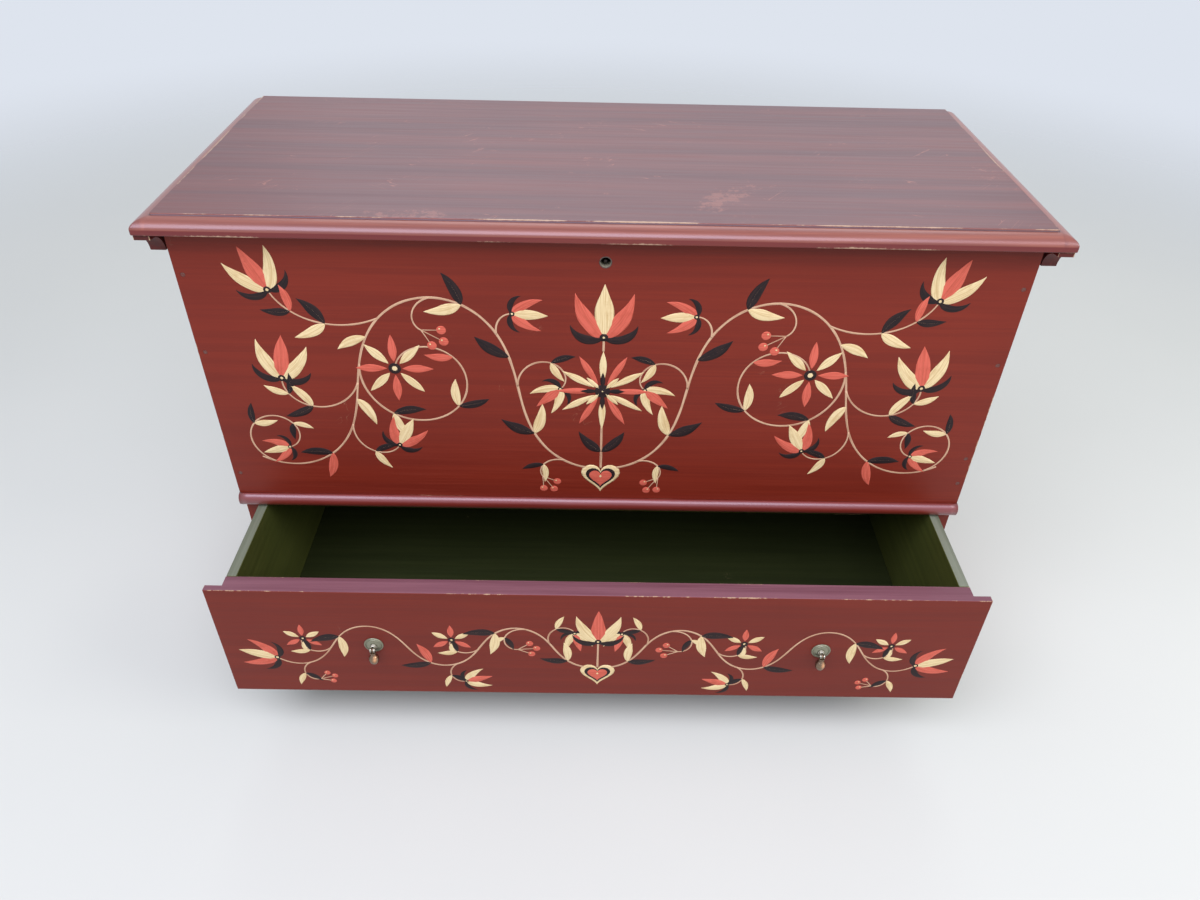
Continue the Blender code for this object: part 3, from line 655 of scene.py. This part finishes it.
def lid_rings(profile):
    """The lid's outline for each inset: the ends and the front move in by the inset,
    with small round corners, and the back edge stays where it is. Its columns stand
    close beside the two rear corners, so that those stay crisp."""
    inset = profile[:, :1]
    side = lid_high[0] - inset
    front = lid_low[1] + inset
    back = lid_high[1]
    from_back = np.concatenate(([0], np.linspace(2 * rear_gap, 1, 27, endpoint=False)))[None, :]
    to_back = np.linspace(2 * rear_gap, 1, 28)[None, ::-1]
    long_run = np.linspace(0, 1, 64, endpoint=False)[None, :]
    back_run = np.concatenate(([0, rear_gap], np.linspace(0.016, 0.984, 61), [1 - rear_gap]))[None, :]
    turn = np.linspace(0, np.pi / 2, 5, endpoint=False)[None, :]
    near = front + lid_corner
    level = 0 * inset
    xs = (
        -side + 0 * from_back,
        -side + lid_corner * (1 - np.cos(turn)),
        -side + lid_corner + 2 * (side - lid_corner) * long_run,
        side - lid_corner * (1 - np.sin(turn)),
        side + 0 * to_back,
        side * (1 - 2 * back_run),
    )
    ys = (
        back + (near - back) * from_back,
        front + lid_corner * (1 - np.sin(turn)),
        front + 0 * long_run,
        front + lid_corner * (1 - np.cos(turn)),
        back + (near - back) * to_back,
        back + level + 0 * back_run,
    )
    x = np.concatenate(xs, axis=1)
    y = np.concatenate([part + level for part in ys], axis=1)
    return points_of(x, y, profile[:, 1:])


def mark(shader, name, output):
    """What the mesh says at each point under a name."""
    return add_node("Attribute", tree=shader.id_data, attribute_name=name).outputs[output]


lid_coat = hue(114, 70, 62)
lid_dark = hue(92, 60, 56)
lid_rub = hue(168, 112, 94)
lid_round_coat = hue(150, 82, 58)
lid_round_dark = hue(116, 54, 36)
lid_band_coat = hue(114, 44, 22)
hollow_shade_and_grime = hue(30, 22, 26)
lid_wax_ior = 1.62
round_wax, top_wax = 0.6, 0.03
profile = lid_profile()
rings = lid_rings(profile)
lid_finish, shader, place = new_finish("lid_paint_waxed")
strokes = effect(brush_strokes, Position=place, Along=1.1, Across=30.0)
top_colour = mixed(strokes["Stroke"], lid_dark, lid_coat)
top_colour = laid(noise(place, 2.4, 4.0, 0.55), 0.4, 0.7, 0.5, top_colour, lid_dark)
spots = effect(rubbed_spots, Position=place, Scale=7.0, Level=0.62)["Rubbed"]
top_colour = mixed(times(spots, 0.34), top_colour, lid_rub)
for turn in ((0, 0, 25), (0, 0, -50)):
    tilted = turned_place(place, turn)
    scratch = effect(fine_scratches, Position=tilted, Scale=8.0, Level=0.6)["Scratch"]
    top_colour = mixed(times(scratch, 0.5), top_colour, lid_rub)
across_lid = add_node("SeparateXYZ", {0: place}).outputs["X"]
end_start = lid_high[0] - edge_width
at_end = rising(maths("ABSOLUTE", across_lid), end_start, end_start + 0.002)
end_place = turned_place(place, front_to_back)
end_strokes = effect(brush_strokes, Position=end_place, Along=1.1, Across=30.0)
stroke, hair = (blended(at_end, strokes[kind], end_strokes[kind]) for kind in ("Stroke", "Hair"))
mark_names = ("edge", "arris", "hollow", "under", "round", "shine")
edge, arris, hollow, under, on_round, shine = (mark(shader, name, "Fac") for name in mark_names)
round_colour = mixed(stroke, lid_round_dark, lid_round_coat)
edge_colour = mixed(on_round, mixed(stroke, red_dark, lid_band_coat), round_colour)
colour = mixed(edge, top_colour, edge_colour)
# Painted shade and grime: the quirk's hollow is darkened nearly to black for its shadow and the dirt in it.
colour = mixed(times(hollow, 0.95), colour, hollow_shade_and_grime)
chips = noise(place, 150.0, 6.0, 0.7)
spread = noise(place, 6.0, 5.0, 0.6)
worn = times(arris, rising(spread, 0.34, 0.66, 0.3, 1.35))
worn = rising(maths("ADD", worn, maths("SUBTRACT", chips, 0.5)), 0.55, 0.85)
colour = mixed(times(worn, 0.85), colour, worn_cream)
colour = mixed(under, colour, effect(bare_grain, Position=place)["Color"])
gleam = {"Coat Weight": shine, "Coat Roughness": 0.28, "Coat IOR": coat_ior}
# The gleam on the lid's edge is tinted with the same painted sky blue.
wax_and_sky_tint = {"IOR": lid_wax_ior, "Specular Tint": sky_gleam_tint, **gleam}
dress(shader, colour, rising(hair, 0.2, 0.9, 0.34, 0.5), hair, 0.0001, wax_and_sky_tint)
inset, height = profile.T


def near(middle, level, wide, tall):
    """A bell around an inset and a height of the profile, with its two widths."""
    return np.exp(-(((inset - middle) / wide) ** 2 + ((height - level) / tall) ** 2))


on_edge = (inset < edge_width + quirk_arris) & (height < lid_high[2] - 0.0001)
is_under = (inset > bare_inset + 0.0002) & (height < lid_low[2] + 0.001)
near_top = near(edge_width, lid_high[2], 0.0012, 0.0012)
near_arris = np.maximum(near_top, 0.78 * near(0, lid_low[2], 0.004, 0.0034))
in_quirk = near(edge_width, lid_high[2] - quirk_depth, 0.0018, 0.0015)
is_round = on_edge & (height > lid_high[2] - round_foot + 0.001)
waxed = np.where(is_round, round_wax, np.where(on_edge, 0.0, top_wax))
waxed = np.where(in_quirk > 0.5, 0.0, waxed * (1 - is_under))
profile_marks = (on_edge, near_arris, in_quirk, is_under, is_round, waxed)
lid_marks = {
    name: np.repeat(values, rings.shape[1])[:, None] for name, values in zip(mark_names, profile_marks)
}
lid = grown_mesh("lid_board_finished", [rings], lid_finish, marks=lid_marks)
put_in(lid, "lid", "lid_board")


# Cleats under the lid's ends: pine, cut to a short nose over a hollow, screwed up from
# below, painted dark.
cleat_colours = (hue(96, 34, 30), hue(58, 20, 20), hue(124, 60, 48))
for node in ("cleat_left", "cleat_right"):
    put_board(node, painted_board(node, cleat_colours, front_to_back), "lid")


# Drawer: a painted front with lips at its ends over a green-painted box. Its top edge
# is painted mauve grey, a painted sheen of the pale room, and the box's top edges a paler grey-green.
drawer_colours = (hue(115, 35, 20), hue(97, 28, 18), hue(127, 47, 30))
mauve_top_sheen = (hue(130, 87, 98), hue(108, 67, 78))
green_coat = hue(86, 92, 42)
green_dark = hue(60, 66, 28)
green_light = hue(104, 110, 62)
green_top_pale = (hue(126, 132, 116), hue(100, 106, 88))
# Painted shade: the drawer's bottom takes the box's green at about half its lightness, for the shade inside
# the open drawer.
bottom_shaded_greens = (hue(44, 50, 24), hue(31, 37, 17), hue(52, 58, 31))
drawer_low, drawer_high = corners_of("drawer_front")
# Painted sheen: the front's top face is painted mauve grey for the pale room it reflects.
drawer_faces = [
    ((0, 1, 0), drawer_high[1], (green_coat, green_dark)),
    ((0, 0, 1), drawer_high[2], mauve_top_sheen),
]
finish = painted_board("drawer_front", drawer_colours, wear=(0.0008, 0.24), other_faces=drawer_faces)
put_board("drawer_front", finish, "drawer")
green_colours = (green_coat, green_dark, green_light)
box_ease = 0.0006
for node in ("drawer_side_left", "drawer_side_right", "drawer_back", "drawer_bottom"):
    is_side = "side" in node
    # The top faces of the drawer's sides are painted a paler grey-green.
    rubbed = [((0, 0, 1), corners_of(node)[1][2], green_top_pale)] if is_side else []
    turn = front_to_back if is_side else (0, 0, 0)
    colours = bottom_shaded_greens if node == "drawer_bottom" else green_colours
    finish = painted_board(node, colours, turn, (0.0009, 0.52), rubbed)
    put_board(node, finish, "drawer", box_ease)


# Painted vines on the front board and the drawer front: oil paint laid on with a
# round brush over the dry coat, thin stems first, then leaves and flowers in cream,
# salmon and lamp black. Each half mirrors the other, as a painter with a pattern works.
paint_sunk = 0.00005
paint_rise = 0.0001
rise_step = 0.0000011
paint_tones = {
    "stem": (hue(208, 172, 140), hue(166, 118, 92)),
    "black": (hue(34, 27, 29), hue(56, 40, 38)),
    "salmon": (hue(214, 104, 86), hue(180, 78, 60)),
    "cream": (hue(234, 212, 164), hue(200, 168, 116)),
}
hand = np.random.default_rng(11)
board_coat = []
layers = itertools.count()


def outline_normals(path):
    """Unit normals to the left of a path of (x, z) points."""
    along = np.gradient(path, axis=0)
    along /= np.linalg.norm(along, axis=1, keepdims=True)
    return points_of(-along[:, 1], along[:, 0])


def keep_paint(colour, x, z, crown, along, across):
    """Keeps one touch of paint. It rises from below the board's face to its crown, each
    touch a little over the last, and the brush's run in it is marked for its streaks."""
    rise = paint_rise + rise_step * next(layers)
    out = -paint_sunk + (rise + paint_sunk) * crown
    brushed = points_of(along, across, hand.uniform(0, 9))
    board_coat.append((colour, points_of(x, out, z), brushed))


def lay(colour, path, half_width):
    """A brush stroke: a low crowned strip carried along a path of (x, z) points."""
    across = np.array((-1, -0.85, 0, 0.85, 1))
    normal = outline_normals(path)
    run = np.linalg.norm(np.diff(path, axis=0, prepend=path[:1]), axis=1).cumsum()
    width = half_width * (1 + 0.07 * np.sin(run * 130 + hand.uniform(0, 6)))
    width = width[:, None]
    x, z = (path[:, axis, None] + normal[:, axis, None] * width * across for axis in (0, 1))
    keep_paint(colour, x, z, np.array((0, 0.94, 1, 0.94, 0)), run[:, None], width * across)


def towards(angle):
    """Unit steps (x, z) in the directions of angles."""
    return points_of(np.cos(angle), np.sin(angle))


full_turn = np.linspace(0, 2 * np.pi, 32, endpoint=False)
round_outline = towards(full_turn)
lobes = 13 * np.cos(full_turn) - 5 * np.cos(2 * full_turn) - 2 * np.cos(3 * full_turn) - np.cos(4 * full_turn)
heart_outline = points_of(16 * np.sin(full_turn) ** 3, lobes + 2.5)[::-1] / 16


def dab(colour, centre, size, outline=round_outline):
    """A touch of the brush: rings of an outline, growing from a centre to full size."""
    shares = np.array((0.15, 0.88, 1))[:, None]
    x, z = (centre[axis] + size * shares * outline[:, axis] for axis in (0, 1))
    keep_paint(colour, x, z, np.array((1, 0.99, 0))[:, None], x, z)


def blade(colour, base, angle, length, width, bend=0.0, belly=0.75, rib=None):
    """A pressed and lifted stroke: it bends evenly, swells as a sine and ends in a point.

    A rib is a hair line drawn up its middle afterwards.
    """
    share = np.linspace(0, 1, 26)
    heading = angle + bend * (share - 0.25)
    step = length / (len(share) - 1)
    path = towards(heading).cumsum(axis=0) * step
    path = np.array(base) + path - path[0]
    swell = width / 2 * np.sin(np.pi * share ** belly) ** 0.9
    lay(colour, path, np.maximum(swell, 0.00018))
    if rib:
        lay(rib, path[1:19], np.linspace(0.0005, 0.0002, 18))


def stem(path, thick, thin):
    """A stroke that narrows evenly along its path."""
    lay("stem", path, np.linspace(thick, thin, len(path)) / 2)


def tendril(path, share, side, radius, turns, thick, thin):
    """A curl that leaves a stem along its own direction and winds in to the given side.

    Its radius falls evenly to 45% over the turns. Gives back its path and last heading.
    """
    start = int(share * (len(path) - 1))
    normal = outline_normals(path)[start] * side
    middle = path[start] + normal * radius
    first = math.atan2(-normal[1], -normal[0])
    swept = np.linspace(0, turns * 2 * np.pi, int(60 * turns) + 12)
    reach = radius * (1 - 0.55 * swept / swept[-1])
    angle = first + side * swept
    curl = middle + reach[:, None] * towards(angle)
    stem(curl, thick, thin)
    return curl, math.atan2(*(curl[-1] - curl[-2])[::-1])


def tulip(base, angle, size, petals=("salmon", "cream")):
    """A middle petal between two that open outwards, over two curled sepals."""
    for side in (-1, 1):
        blade("black", base, angle + side * 1.7, size * 0.72, size * 0.17, -side * 1.9)
        blade(petals[1], base, angle + side * 0.72, size * 0.98, size * 0.30, -side * 0.7, 0.62, "stem")
    blade(petals[0], base, angle, size, size * 0.34, 0.0, 0.7, "stem")
    dab("black", base, size * 0.085)
    dab("cream", base, size * 0.045)


def daisy(centre, size, count, colours):
    """Petals evenly round an eye, in colours that take turns."""
    for number in range(count):
        angle = 2 * np.pi * number / count + np.pi / 2
        start = np.array(centre) + size * 0.2 * towards(angle)
        blade(colours[number % len(colours)], start, angle, size * 0.8, size * 1.9 / count, 0.0, 0.95)
    dab("black", centre, size * 0.17)
    dab("cream", centre, size * 0.08)


def berries(base, angle, size):
    """Three stems that fan out from a base, each with a berry and its light at the end."""
    for turn, reach in ((-0.55, 0.8), (0.0, 1.0), (0.55, 0.8)):
        end = np.array(base) + size * reach * towards(angle + turn)
        stem(np.linspace(base, end, 6), 0.0016, 0.0012)
        dab("salmon", end, size * 0.2)
        dab("cream", end + size * 0.06, size * 0.05)


def leaf_pair(path, share, size, colours=("black", "cream")):
    """Two leaves on either side of a stem, leaning the way it grows."""
    start = int(share * (len(path) - 1))
    place = path[start]
    heading = math.atan2(*(path[start + 1] - place)[::-1])
    for side, colour in zip((-1, 1), colours):
        if colour:
            rib = "stem" if size > 0.035 else None
            blade(colour, place, heading + side * 0.8, size, size * 0.31, -side * 0.5, 0.8, rib)


def brushed_paint(name, full, thin):
    """Thin oil paint: streaks of the brush's hairs along each stroke, and worn specks."""
    finish, shader, place = new_finish(name)
    streaks = noise(scaled(mark(shader, "brushed", "Vector"), 22.0, 700.0), 1.0, 3.0, 0.6)
    colour = laid(streaks, 0.42, 0.66, 0.7, full, thin)
    colour = laid(noise(place, 60.0, 4.0, 0.6), 0.48, 0.75, 0.5, colour, thin)
    colour = laid(noise(place, 420.0, 4.0, 0.7), 0.66, 0.72, 0.7, colour, red_dark)
    rough = rising(streaks, 0.3, 0.7, 0.42, 0.58)
    dress(shader, colour, rough, streaks, 0.00006, {"Specular IOR Level": 0.16})
    return finish


paints = {tone: brushed_paint("paint_" + tone, *tones) for tone, tones in paint_tones.items()}


def paint_on(name, face, body, sides=(-1, 1)):
    """Puts the strokes laid so far on a board's face, on one side or mirrored too.

    The strokes of one colour are one mesh, and the palette is left empty.
    """
    for tone in {stroke[0]: True for stroke in board_coat}:
        shells, marks = [], []
        for shape, brushed in [stroke[1:] for stroke in board_coat if stroke[0] == tone]:
            for side in sides:
                shells.append((shape * (side, -1, 1) + (0, face, 0))[:, ::-side])
                marks.append(brushed[:, ::-side].reshape(-1, 3))
        marks = {"brushed": np.concatenate(marks)}
        put_in(grown_mesh(f"{name}_{tone}", shells, paints[tone], marks=marks, smooth_caps=True), body)
    board_coat.clear()


def meander(start, length, swing, waves, count=240):
    """A winding stem whose heading swings evenly, as a sine, to both sides of level."""
    share = np.linspace(0, 1, count)
    heading = swing * np.sin(2 * np.pi * waves * share)
    return np.array(start) + (towards(heading) * length / count).cumsum(axis=0)


def branch(main, place, side, radius, turns, flower, leaves=(), widths=(0.0028, 0.0020)):
    """A curl off the main stem, with a flower or berries at its end and leaves along it."""
    curl, heading = tendril(main, place, side, radius, turns, *widths)
    kind, size, *details = flower
    if kind == "daisy":
        daisy(curl[-1], size, *details)
    elif kind == "tulip":
        tulip(curl[-1], heading, size, *details)
    else:
        berries(curl[-1], heading, size)
    for leaf in leaves:
        leaf_pair(curl, *leaf)


def heart(foot, sizes, gleam):
    """A heart in three colours, one on the other, with a light touch at its middle."""
    for colour, size in zip(("cream", "black", "salmon"), sizes):
        dab(colour, (0, foot), size, heart_outline)
    dab("cream", (0, foot + gleam[0]), gleam[1])


def shoot(low, high, count, thick, thin):
    """A straight stem up the middle of a board."""
    stem(points_of(0.0, np.linspace(low, high, count)), thick, thin)


# The front board's vine: one full wave on each side of the middle, round in its bays,
# each bay filled by a curl and its flower, with branches to the corner and the side.
light_dark = ("cream", "black")
dark_pink = ("black", "salmon")
pink_light = ("salmon", "cream")
light_pink = ("cream", "salmon")
sturdy = (0.0030, 0.0022)
front_face = corners_of("front_board")[0][1]
main = meander((0.004, 0.408), 0.850, 1.40, 1.06)
stem(main, 0.0040, 0.0028)
bay_leaves = ((0.20, 0.048), (0.43, 0.046, light_dark), (0.66, 0.040, ("salmon", None)))
for bough in (
    (0.665, -1, 0.088, 0.98, ("daisy", 0.054, 8, pink_light), bay_leaves, (0.0034, 0.0022)),
    (0.975, 1, 0.050, 0.88, ("tulip", 0.042, light_pink), ((0.34, 0.036), (0.66, 0.030, light_dark))),
    (0.24, 1, 0.044, 0.62, ("tulip", 0.046), ((0.48, 0.036),), (0.0030, 0.0020)),
    (0.345, 1, 0.036, 0.24, ("tulip", 0.048, light_pink)),
    (0.565, 1, 0.150, 0.20, ("tulip", 0.066), ((0.40, 0.050, light_dark), (0.72, 0.040, dark_pink)), sturdy),
    (0.70, 1, 0.074, 0.44, ("tulip", 0.070), ((0.50, 0.046), (0.76, 0.036, light_dark)), sturdy),
    (0.06, -1, 0.034, 0.36, ("berries", 0.030), ((0.5, 0.034, light_dark),)),
    (0.79, -1, 0.052, 0.42, ("tulip", 0.054, light_pink), ((0.5, 0.038),)),
    (0.47, -1, 0.040, 0.34, ("berries", 0.034)),
):
    branch(main, *bough)
for leaf in (
    (0.14, 0.054),
    (0.30, 0.056, ("black", None)),
    (0.42, 0.052, light_dark),
    (0.61, 0.046, (None, "cream")),
    (0.735, 0.050, ("cream", None)),
    (0.87, 0.048, ("salmon", "black")),
):
    leaf_pair(main, *leaf)
paint_on("front_vine", front_face, "case")

# The middle of the front board: a heart at the foot, a round flower, a tulip above.
heart(0.388, (0.030, 0.0255, 0.0195), (0.004, 0.0035))
shoot(0.408, 0.500, 40, 0.0038, 0.0034)
for side in (-1, 1):
    blade("black", (0, 0.440), np.pi / 2 + side * 0.9, 0.050, 0.016, -side * 0.6, rib="stem")
daisy((0, 0.548), 0.066, 12, light_pink)
daisy((0, 0.548), 0.032, 8, light_dark[::-1])
shoot(0.614, 0.636, 20, 0.0032, 0.0030)
tulip((0, 0.636), np.pi / 2, 0.080, light_pink)
paint_on("front_middle", front_face, "case", (1,))

# The drawer's vine: two shallow waves on each side of a heart, running past the pulls.
drawer_face = drawer_low[1]
layers = itertools.count()
main = meander((0.010, 0.170), 0.620, 1.04, 2.12)
stem(main, 0.0034, 0.0024)
tulip(main[-1], 0.3, 0.056, light_pink)
for place, side, radius, turns, flower in (
    (0.135, 1, 0.030, 0.50, ("tulip", 0.040)),
    (0.21, -1, 0.032, 0.52, ("berries", 0.028)),
    (0.36, 1, 0.030, 0.46, ("daisy", 0.032, 6, pink_light)),
    (0.44, -1, 0.030, 0.42, ("tulip", 0.042)),
    (0.835, 1, 0.030, 0.46, ("daisy", 0.030, 6, pink_light)),
    (0.92, -1, 0.028, 0.44, ("berries", 0.024)),
):
    leaf = (0.45, 0.030, light_dark[::side])
    branch(main, place, side, radius, turns, flower, (leaf,), (0.0026, 0.0018))
for leaf in ((0.06, 0.042), (0.29, 0.048, light_dark), (0.51, 0.046, dark_pink), (0.79, 0.046, light_dark)):
    leaf_pair(main, *leaf)
paint_on("drawer_vine", drawer_face, "drawer")

heart(0.152, (0.027, 0.0225, 0.0170), (0.003, 0.0030))
shoot(0.170, 0.228, 30, 0.0032, 0.0028)
tulip((0, 0.228), np.pi / 2, 0.066)
paint_on("drawer_middle", drawer_face, "drawer", (1,))


# Drop pulls: cast and turned brass. A ringed plate lies against the drawer, a post with
# a forked head goes through it, and a pear drop swings on the pin of the fork.
pull_axis = 0.0110
collar_reach = 0.0050
post_radius = 0.0024
fork_radius = 0.0034
fork_half = 0.0036
slot_half = 0.0017
slot_back = 0.0065
pin_radius = 0.0012
pin_half = 0.0041
eye_hole = 0.0016
eye_outer = 0.0030
tongue_half = 0.0013
shoulder = 0.0045
belly_radius = 0.0075
drop_length = 0.0240
# Place and size of the painted copper highlight on each drop, right of its belly's middle.
highlight_spot = (0.0028, -0.0066, -0.0142)
highlight_size = (0.0024, 0.0060, 0.0046)
fork_ease = 0.0007
collar = 0.0048
copper_highlight = hue(246, 182, 134)
plate_brass, post_brass, drop_brass = (
    old_metal(name + "_brass", hue(*ground), hue(*bloom), hue(*rubbed), metal, rough)
    for name, ground, bloom, rubbed, metal, rough in (
        ("plate", (140, 140, 120), (116, 122, 104), (186, 182, 160), 0.7, 0.42),
        ("post", (190, 186, 174), (120, 116, 100), (232, 228, 216), 0.95, 0.26),
        ("drop", (130, 112, 94), (98, 94, 80), (176, 138, 106), 0.9, 0.3),
    )
)
# Painted highlight: a soft copper patch on each drop stands for the gleam of the lamp on the brass.
shader = drop_brass.node_tree.nodes["Principled BSDF"]
tarnished = shader.inputs["Base Color"].links[0].from_socket
feed(shader, {"Base Color": mixed(mark(shader, "painted_highlight", "Fac"), tarnished, copper_highlight)})


def flowing(points, steps=5):
    """A smooth curve through points, with so many steps between neighbours.

    Each stretch is a cubic whose slope at a point is half the way between the points
    on both sides of it.
    """
    points = np.asarray(points, float)
    run = np.concatenate((2 * points[:1] - points[1:2], points, 2 * points[-1:] - points[-2:-1]))
    share = np.linspace(0, 1, steps, endpoint=False)[None, :, None]
    before, here, ahead, beyond = (run[k:k + len(points) - 1, None] for k in range(4))
    curve = here + 0.5 * share * (
        ahead - before
        + share * (2 * before - 5 * here + 4 * ahead - beyond)
        + share ** 2 * (3 * here - before - 3 * ahead + beyond)
    )
    return np.concatenate((curve.reshape(-1, points.shape[1]), points[-1:]))


def rounded_slab(low, high, ease, outline, *sizes):
    """Rings of an outline (ahead, up), a function of its inset and sizes, carried from low
    to high along X and drawn in by a quarter round at both ends."""
    falling, growing = quarter_round(5)
    x = np.concatenate((low + ease * growing, high - ease * growing[::-1]))
    ahead, up = outline(ease * np.concatenate((falling, falling[::-1]))[:, None], *sizes)
    return points_of(x[:, None], -ahead, up)


def fork_outline(inset):
    """From the collar round the nose of the fork and back: two corners and a half circle."""
    turn = np.linspace(-np.pi / 2, np.pi / 2, 19)[None, :]
    radius = fork_radius - inset
    back = collar_reach - 0.0004 + inset
    ahead = np.concatenate((back, pull_axis + radius * np.cos(turn), back), axis=1)
    up = np.concatenate((-radius, radius * np.sin(turn), radius), axis=1)
    return ahead[:, ::-1], up[:, ::-1]


def block_outline(inset, back, front, low, high):
    """The four corners of a plain block, drawn in by the inset."""
    ahead = np.concatenate((back + inset, back + inset, front - inset, front - inset), axis=1)
    up = np.concatenate((low + inset, high - inset, high - inset, low + inset), axis=1)
    return ahead, up


for word in ("left", "right"):
    plate_low, plate_high = corners_of("pull_plate_" + word)
    middle = (plate_low + plate_high) / 2 * (1, 0, 1) + (0, drawer_face, 0)
    pin_centre = middle - (0, pull_axis, 0)
    reach = (plate_high[0] - plate_low[0]) / 2
    rise = plate_high[1] - plate_low[1]
    rings = flowing(
        [
            (0.335, 0.97), (0.42, 0.96), (0.47, 0.84), (0.56, 0.72), (0.66, 0.64), (0.72, 0.62),
            (0.755, 0.42), (0.80, 0.40), (0.83, 0.58), (0.88, 0.72), (0.93, 0.70), (0.97, 0.58),
            (0.995, 0.34), (1, 0.1),
        ]
    ) * (reach, rise)
    section = np.concatenate(([(0.0028, 0), (0.0028, rise * 0.96)], rings, [(reach, 0)]))
    plate = grown_mesh("pull_plate_turned_" + word, (), plate_brass, [hoop_rings(section, middle, "front")])
    put_in(plate, "drawer", "pull_plate_" + word)

    shank_end = plate_high[1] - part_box("pull_post_" + word)[1][1]
    post_profile = [
        (0.0002, shank_end), (post_radius - 0.0003, shank_end), (post_radius, shank_end + 0.0003),
        (post_radius, rise), (collar - 0.0003, rise), (collar, rise + 0.0003),
        (collar, collar_reach - 0.0006), (collar - 0.0002, collar_reach - 0.0002),
        (collar - 0.0007, collar_reach), (0.0002, collar_reach),
    ]
    pin_profile = flowing(
        [(0.08, -1), (0.67, -0.976), (1, -0.9), (1, 0), (1, 0.9), (0.67, 0.976), (0.08, 1)]
    ) * (pin_radius, pin_half)
    root = (collar_reach - 0.0004, slot_back, -fork_radius, fork_radius)
    post = [
        turned_rings(post_profile, middle, "front"),
        turned_rings(pin_profile, pin_centre, "right", 32),
        rounded_slab(-fork_half, -slot_half, fork_ease, fork_outline) + middle,
        rounded_slab(slot_half, fork_half, fork_ease, fork_outline) + middle,
        rounded_slab(-slot_half - 0.001, slot_half + 0.001, 0.0002, block_outline, *root) + middle,
    ]
    post = grown_mesh("pull_post_turned_" + word, post, post_brass)
    put_in(post, "drawer", "pull_post_" + word)

    pear = flowing(
        [
            (0.02, -1), (0.26, -0.99), (0.50, -0.96), (0.71, -0.90), (0.88, -0.80), (0.98, -0.68),
            (1, -0.55), (0.93, -0.44), (0.77, -0.34), (0.59, -0.27), (0.48, -0.21), (0.46, -0.16),
            (0.52, -0.12), (0.58, -0.09), (0.60, -0.05), (0.57, -0.01), (0.52, 0), (0.02, 0),
        ]
    ) * (belly_radius, drop_length) - (0, shoulder)
    tongue = (-eye_hole, eye_hole, -shoulder - 0.0006, -eye_hole - 0.0004)
    tongue = rounded_slab(-tongue_half, tongue_half, 0.0003, block_outline, *tongue) + pin_centre
    eye = ring_section(eye_hole, eye_outer, -tongue_half, tongue_half, 0.0004)
    shells = [turned_rings(pear, pin_centre, "up"), tongue]
    hoops = [hoop_rings(eye, pin_centre, "right")]
    points = np.concatenate([grid.reshape(-1, 3) for grid in (*shells, *hoops)])
    # Painted highlight: a bell around one spot of each drop marks where the copper highlight is painted.
    away = np.linalg.norm((points - pin_centre - highlight_spot) / highlight_size, axis=1)
    marks = {"painted_highlight": np.exp(-away ** 2)[:, None]}
    drop = grown_mesh("pull_drop_turned_" + word, shells, drop_brass, hoops, marks)
    put_in(drop, "drop_" + word, "pull_drop_" + word)
refinish("pull_nut", plate_brass)
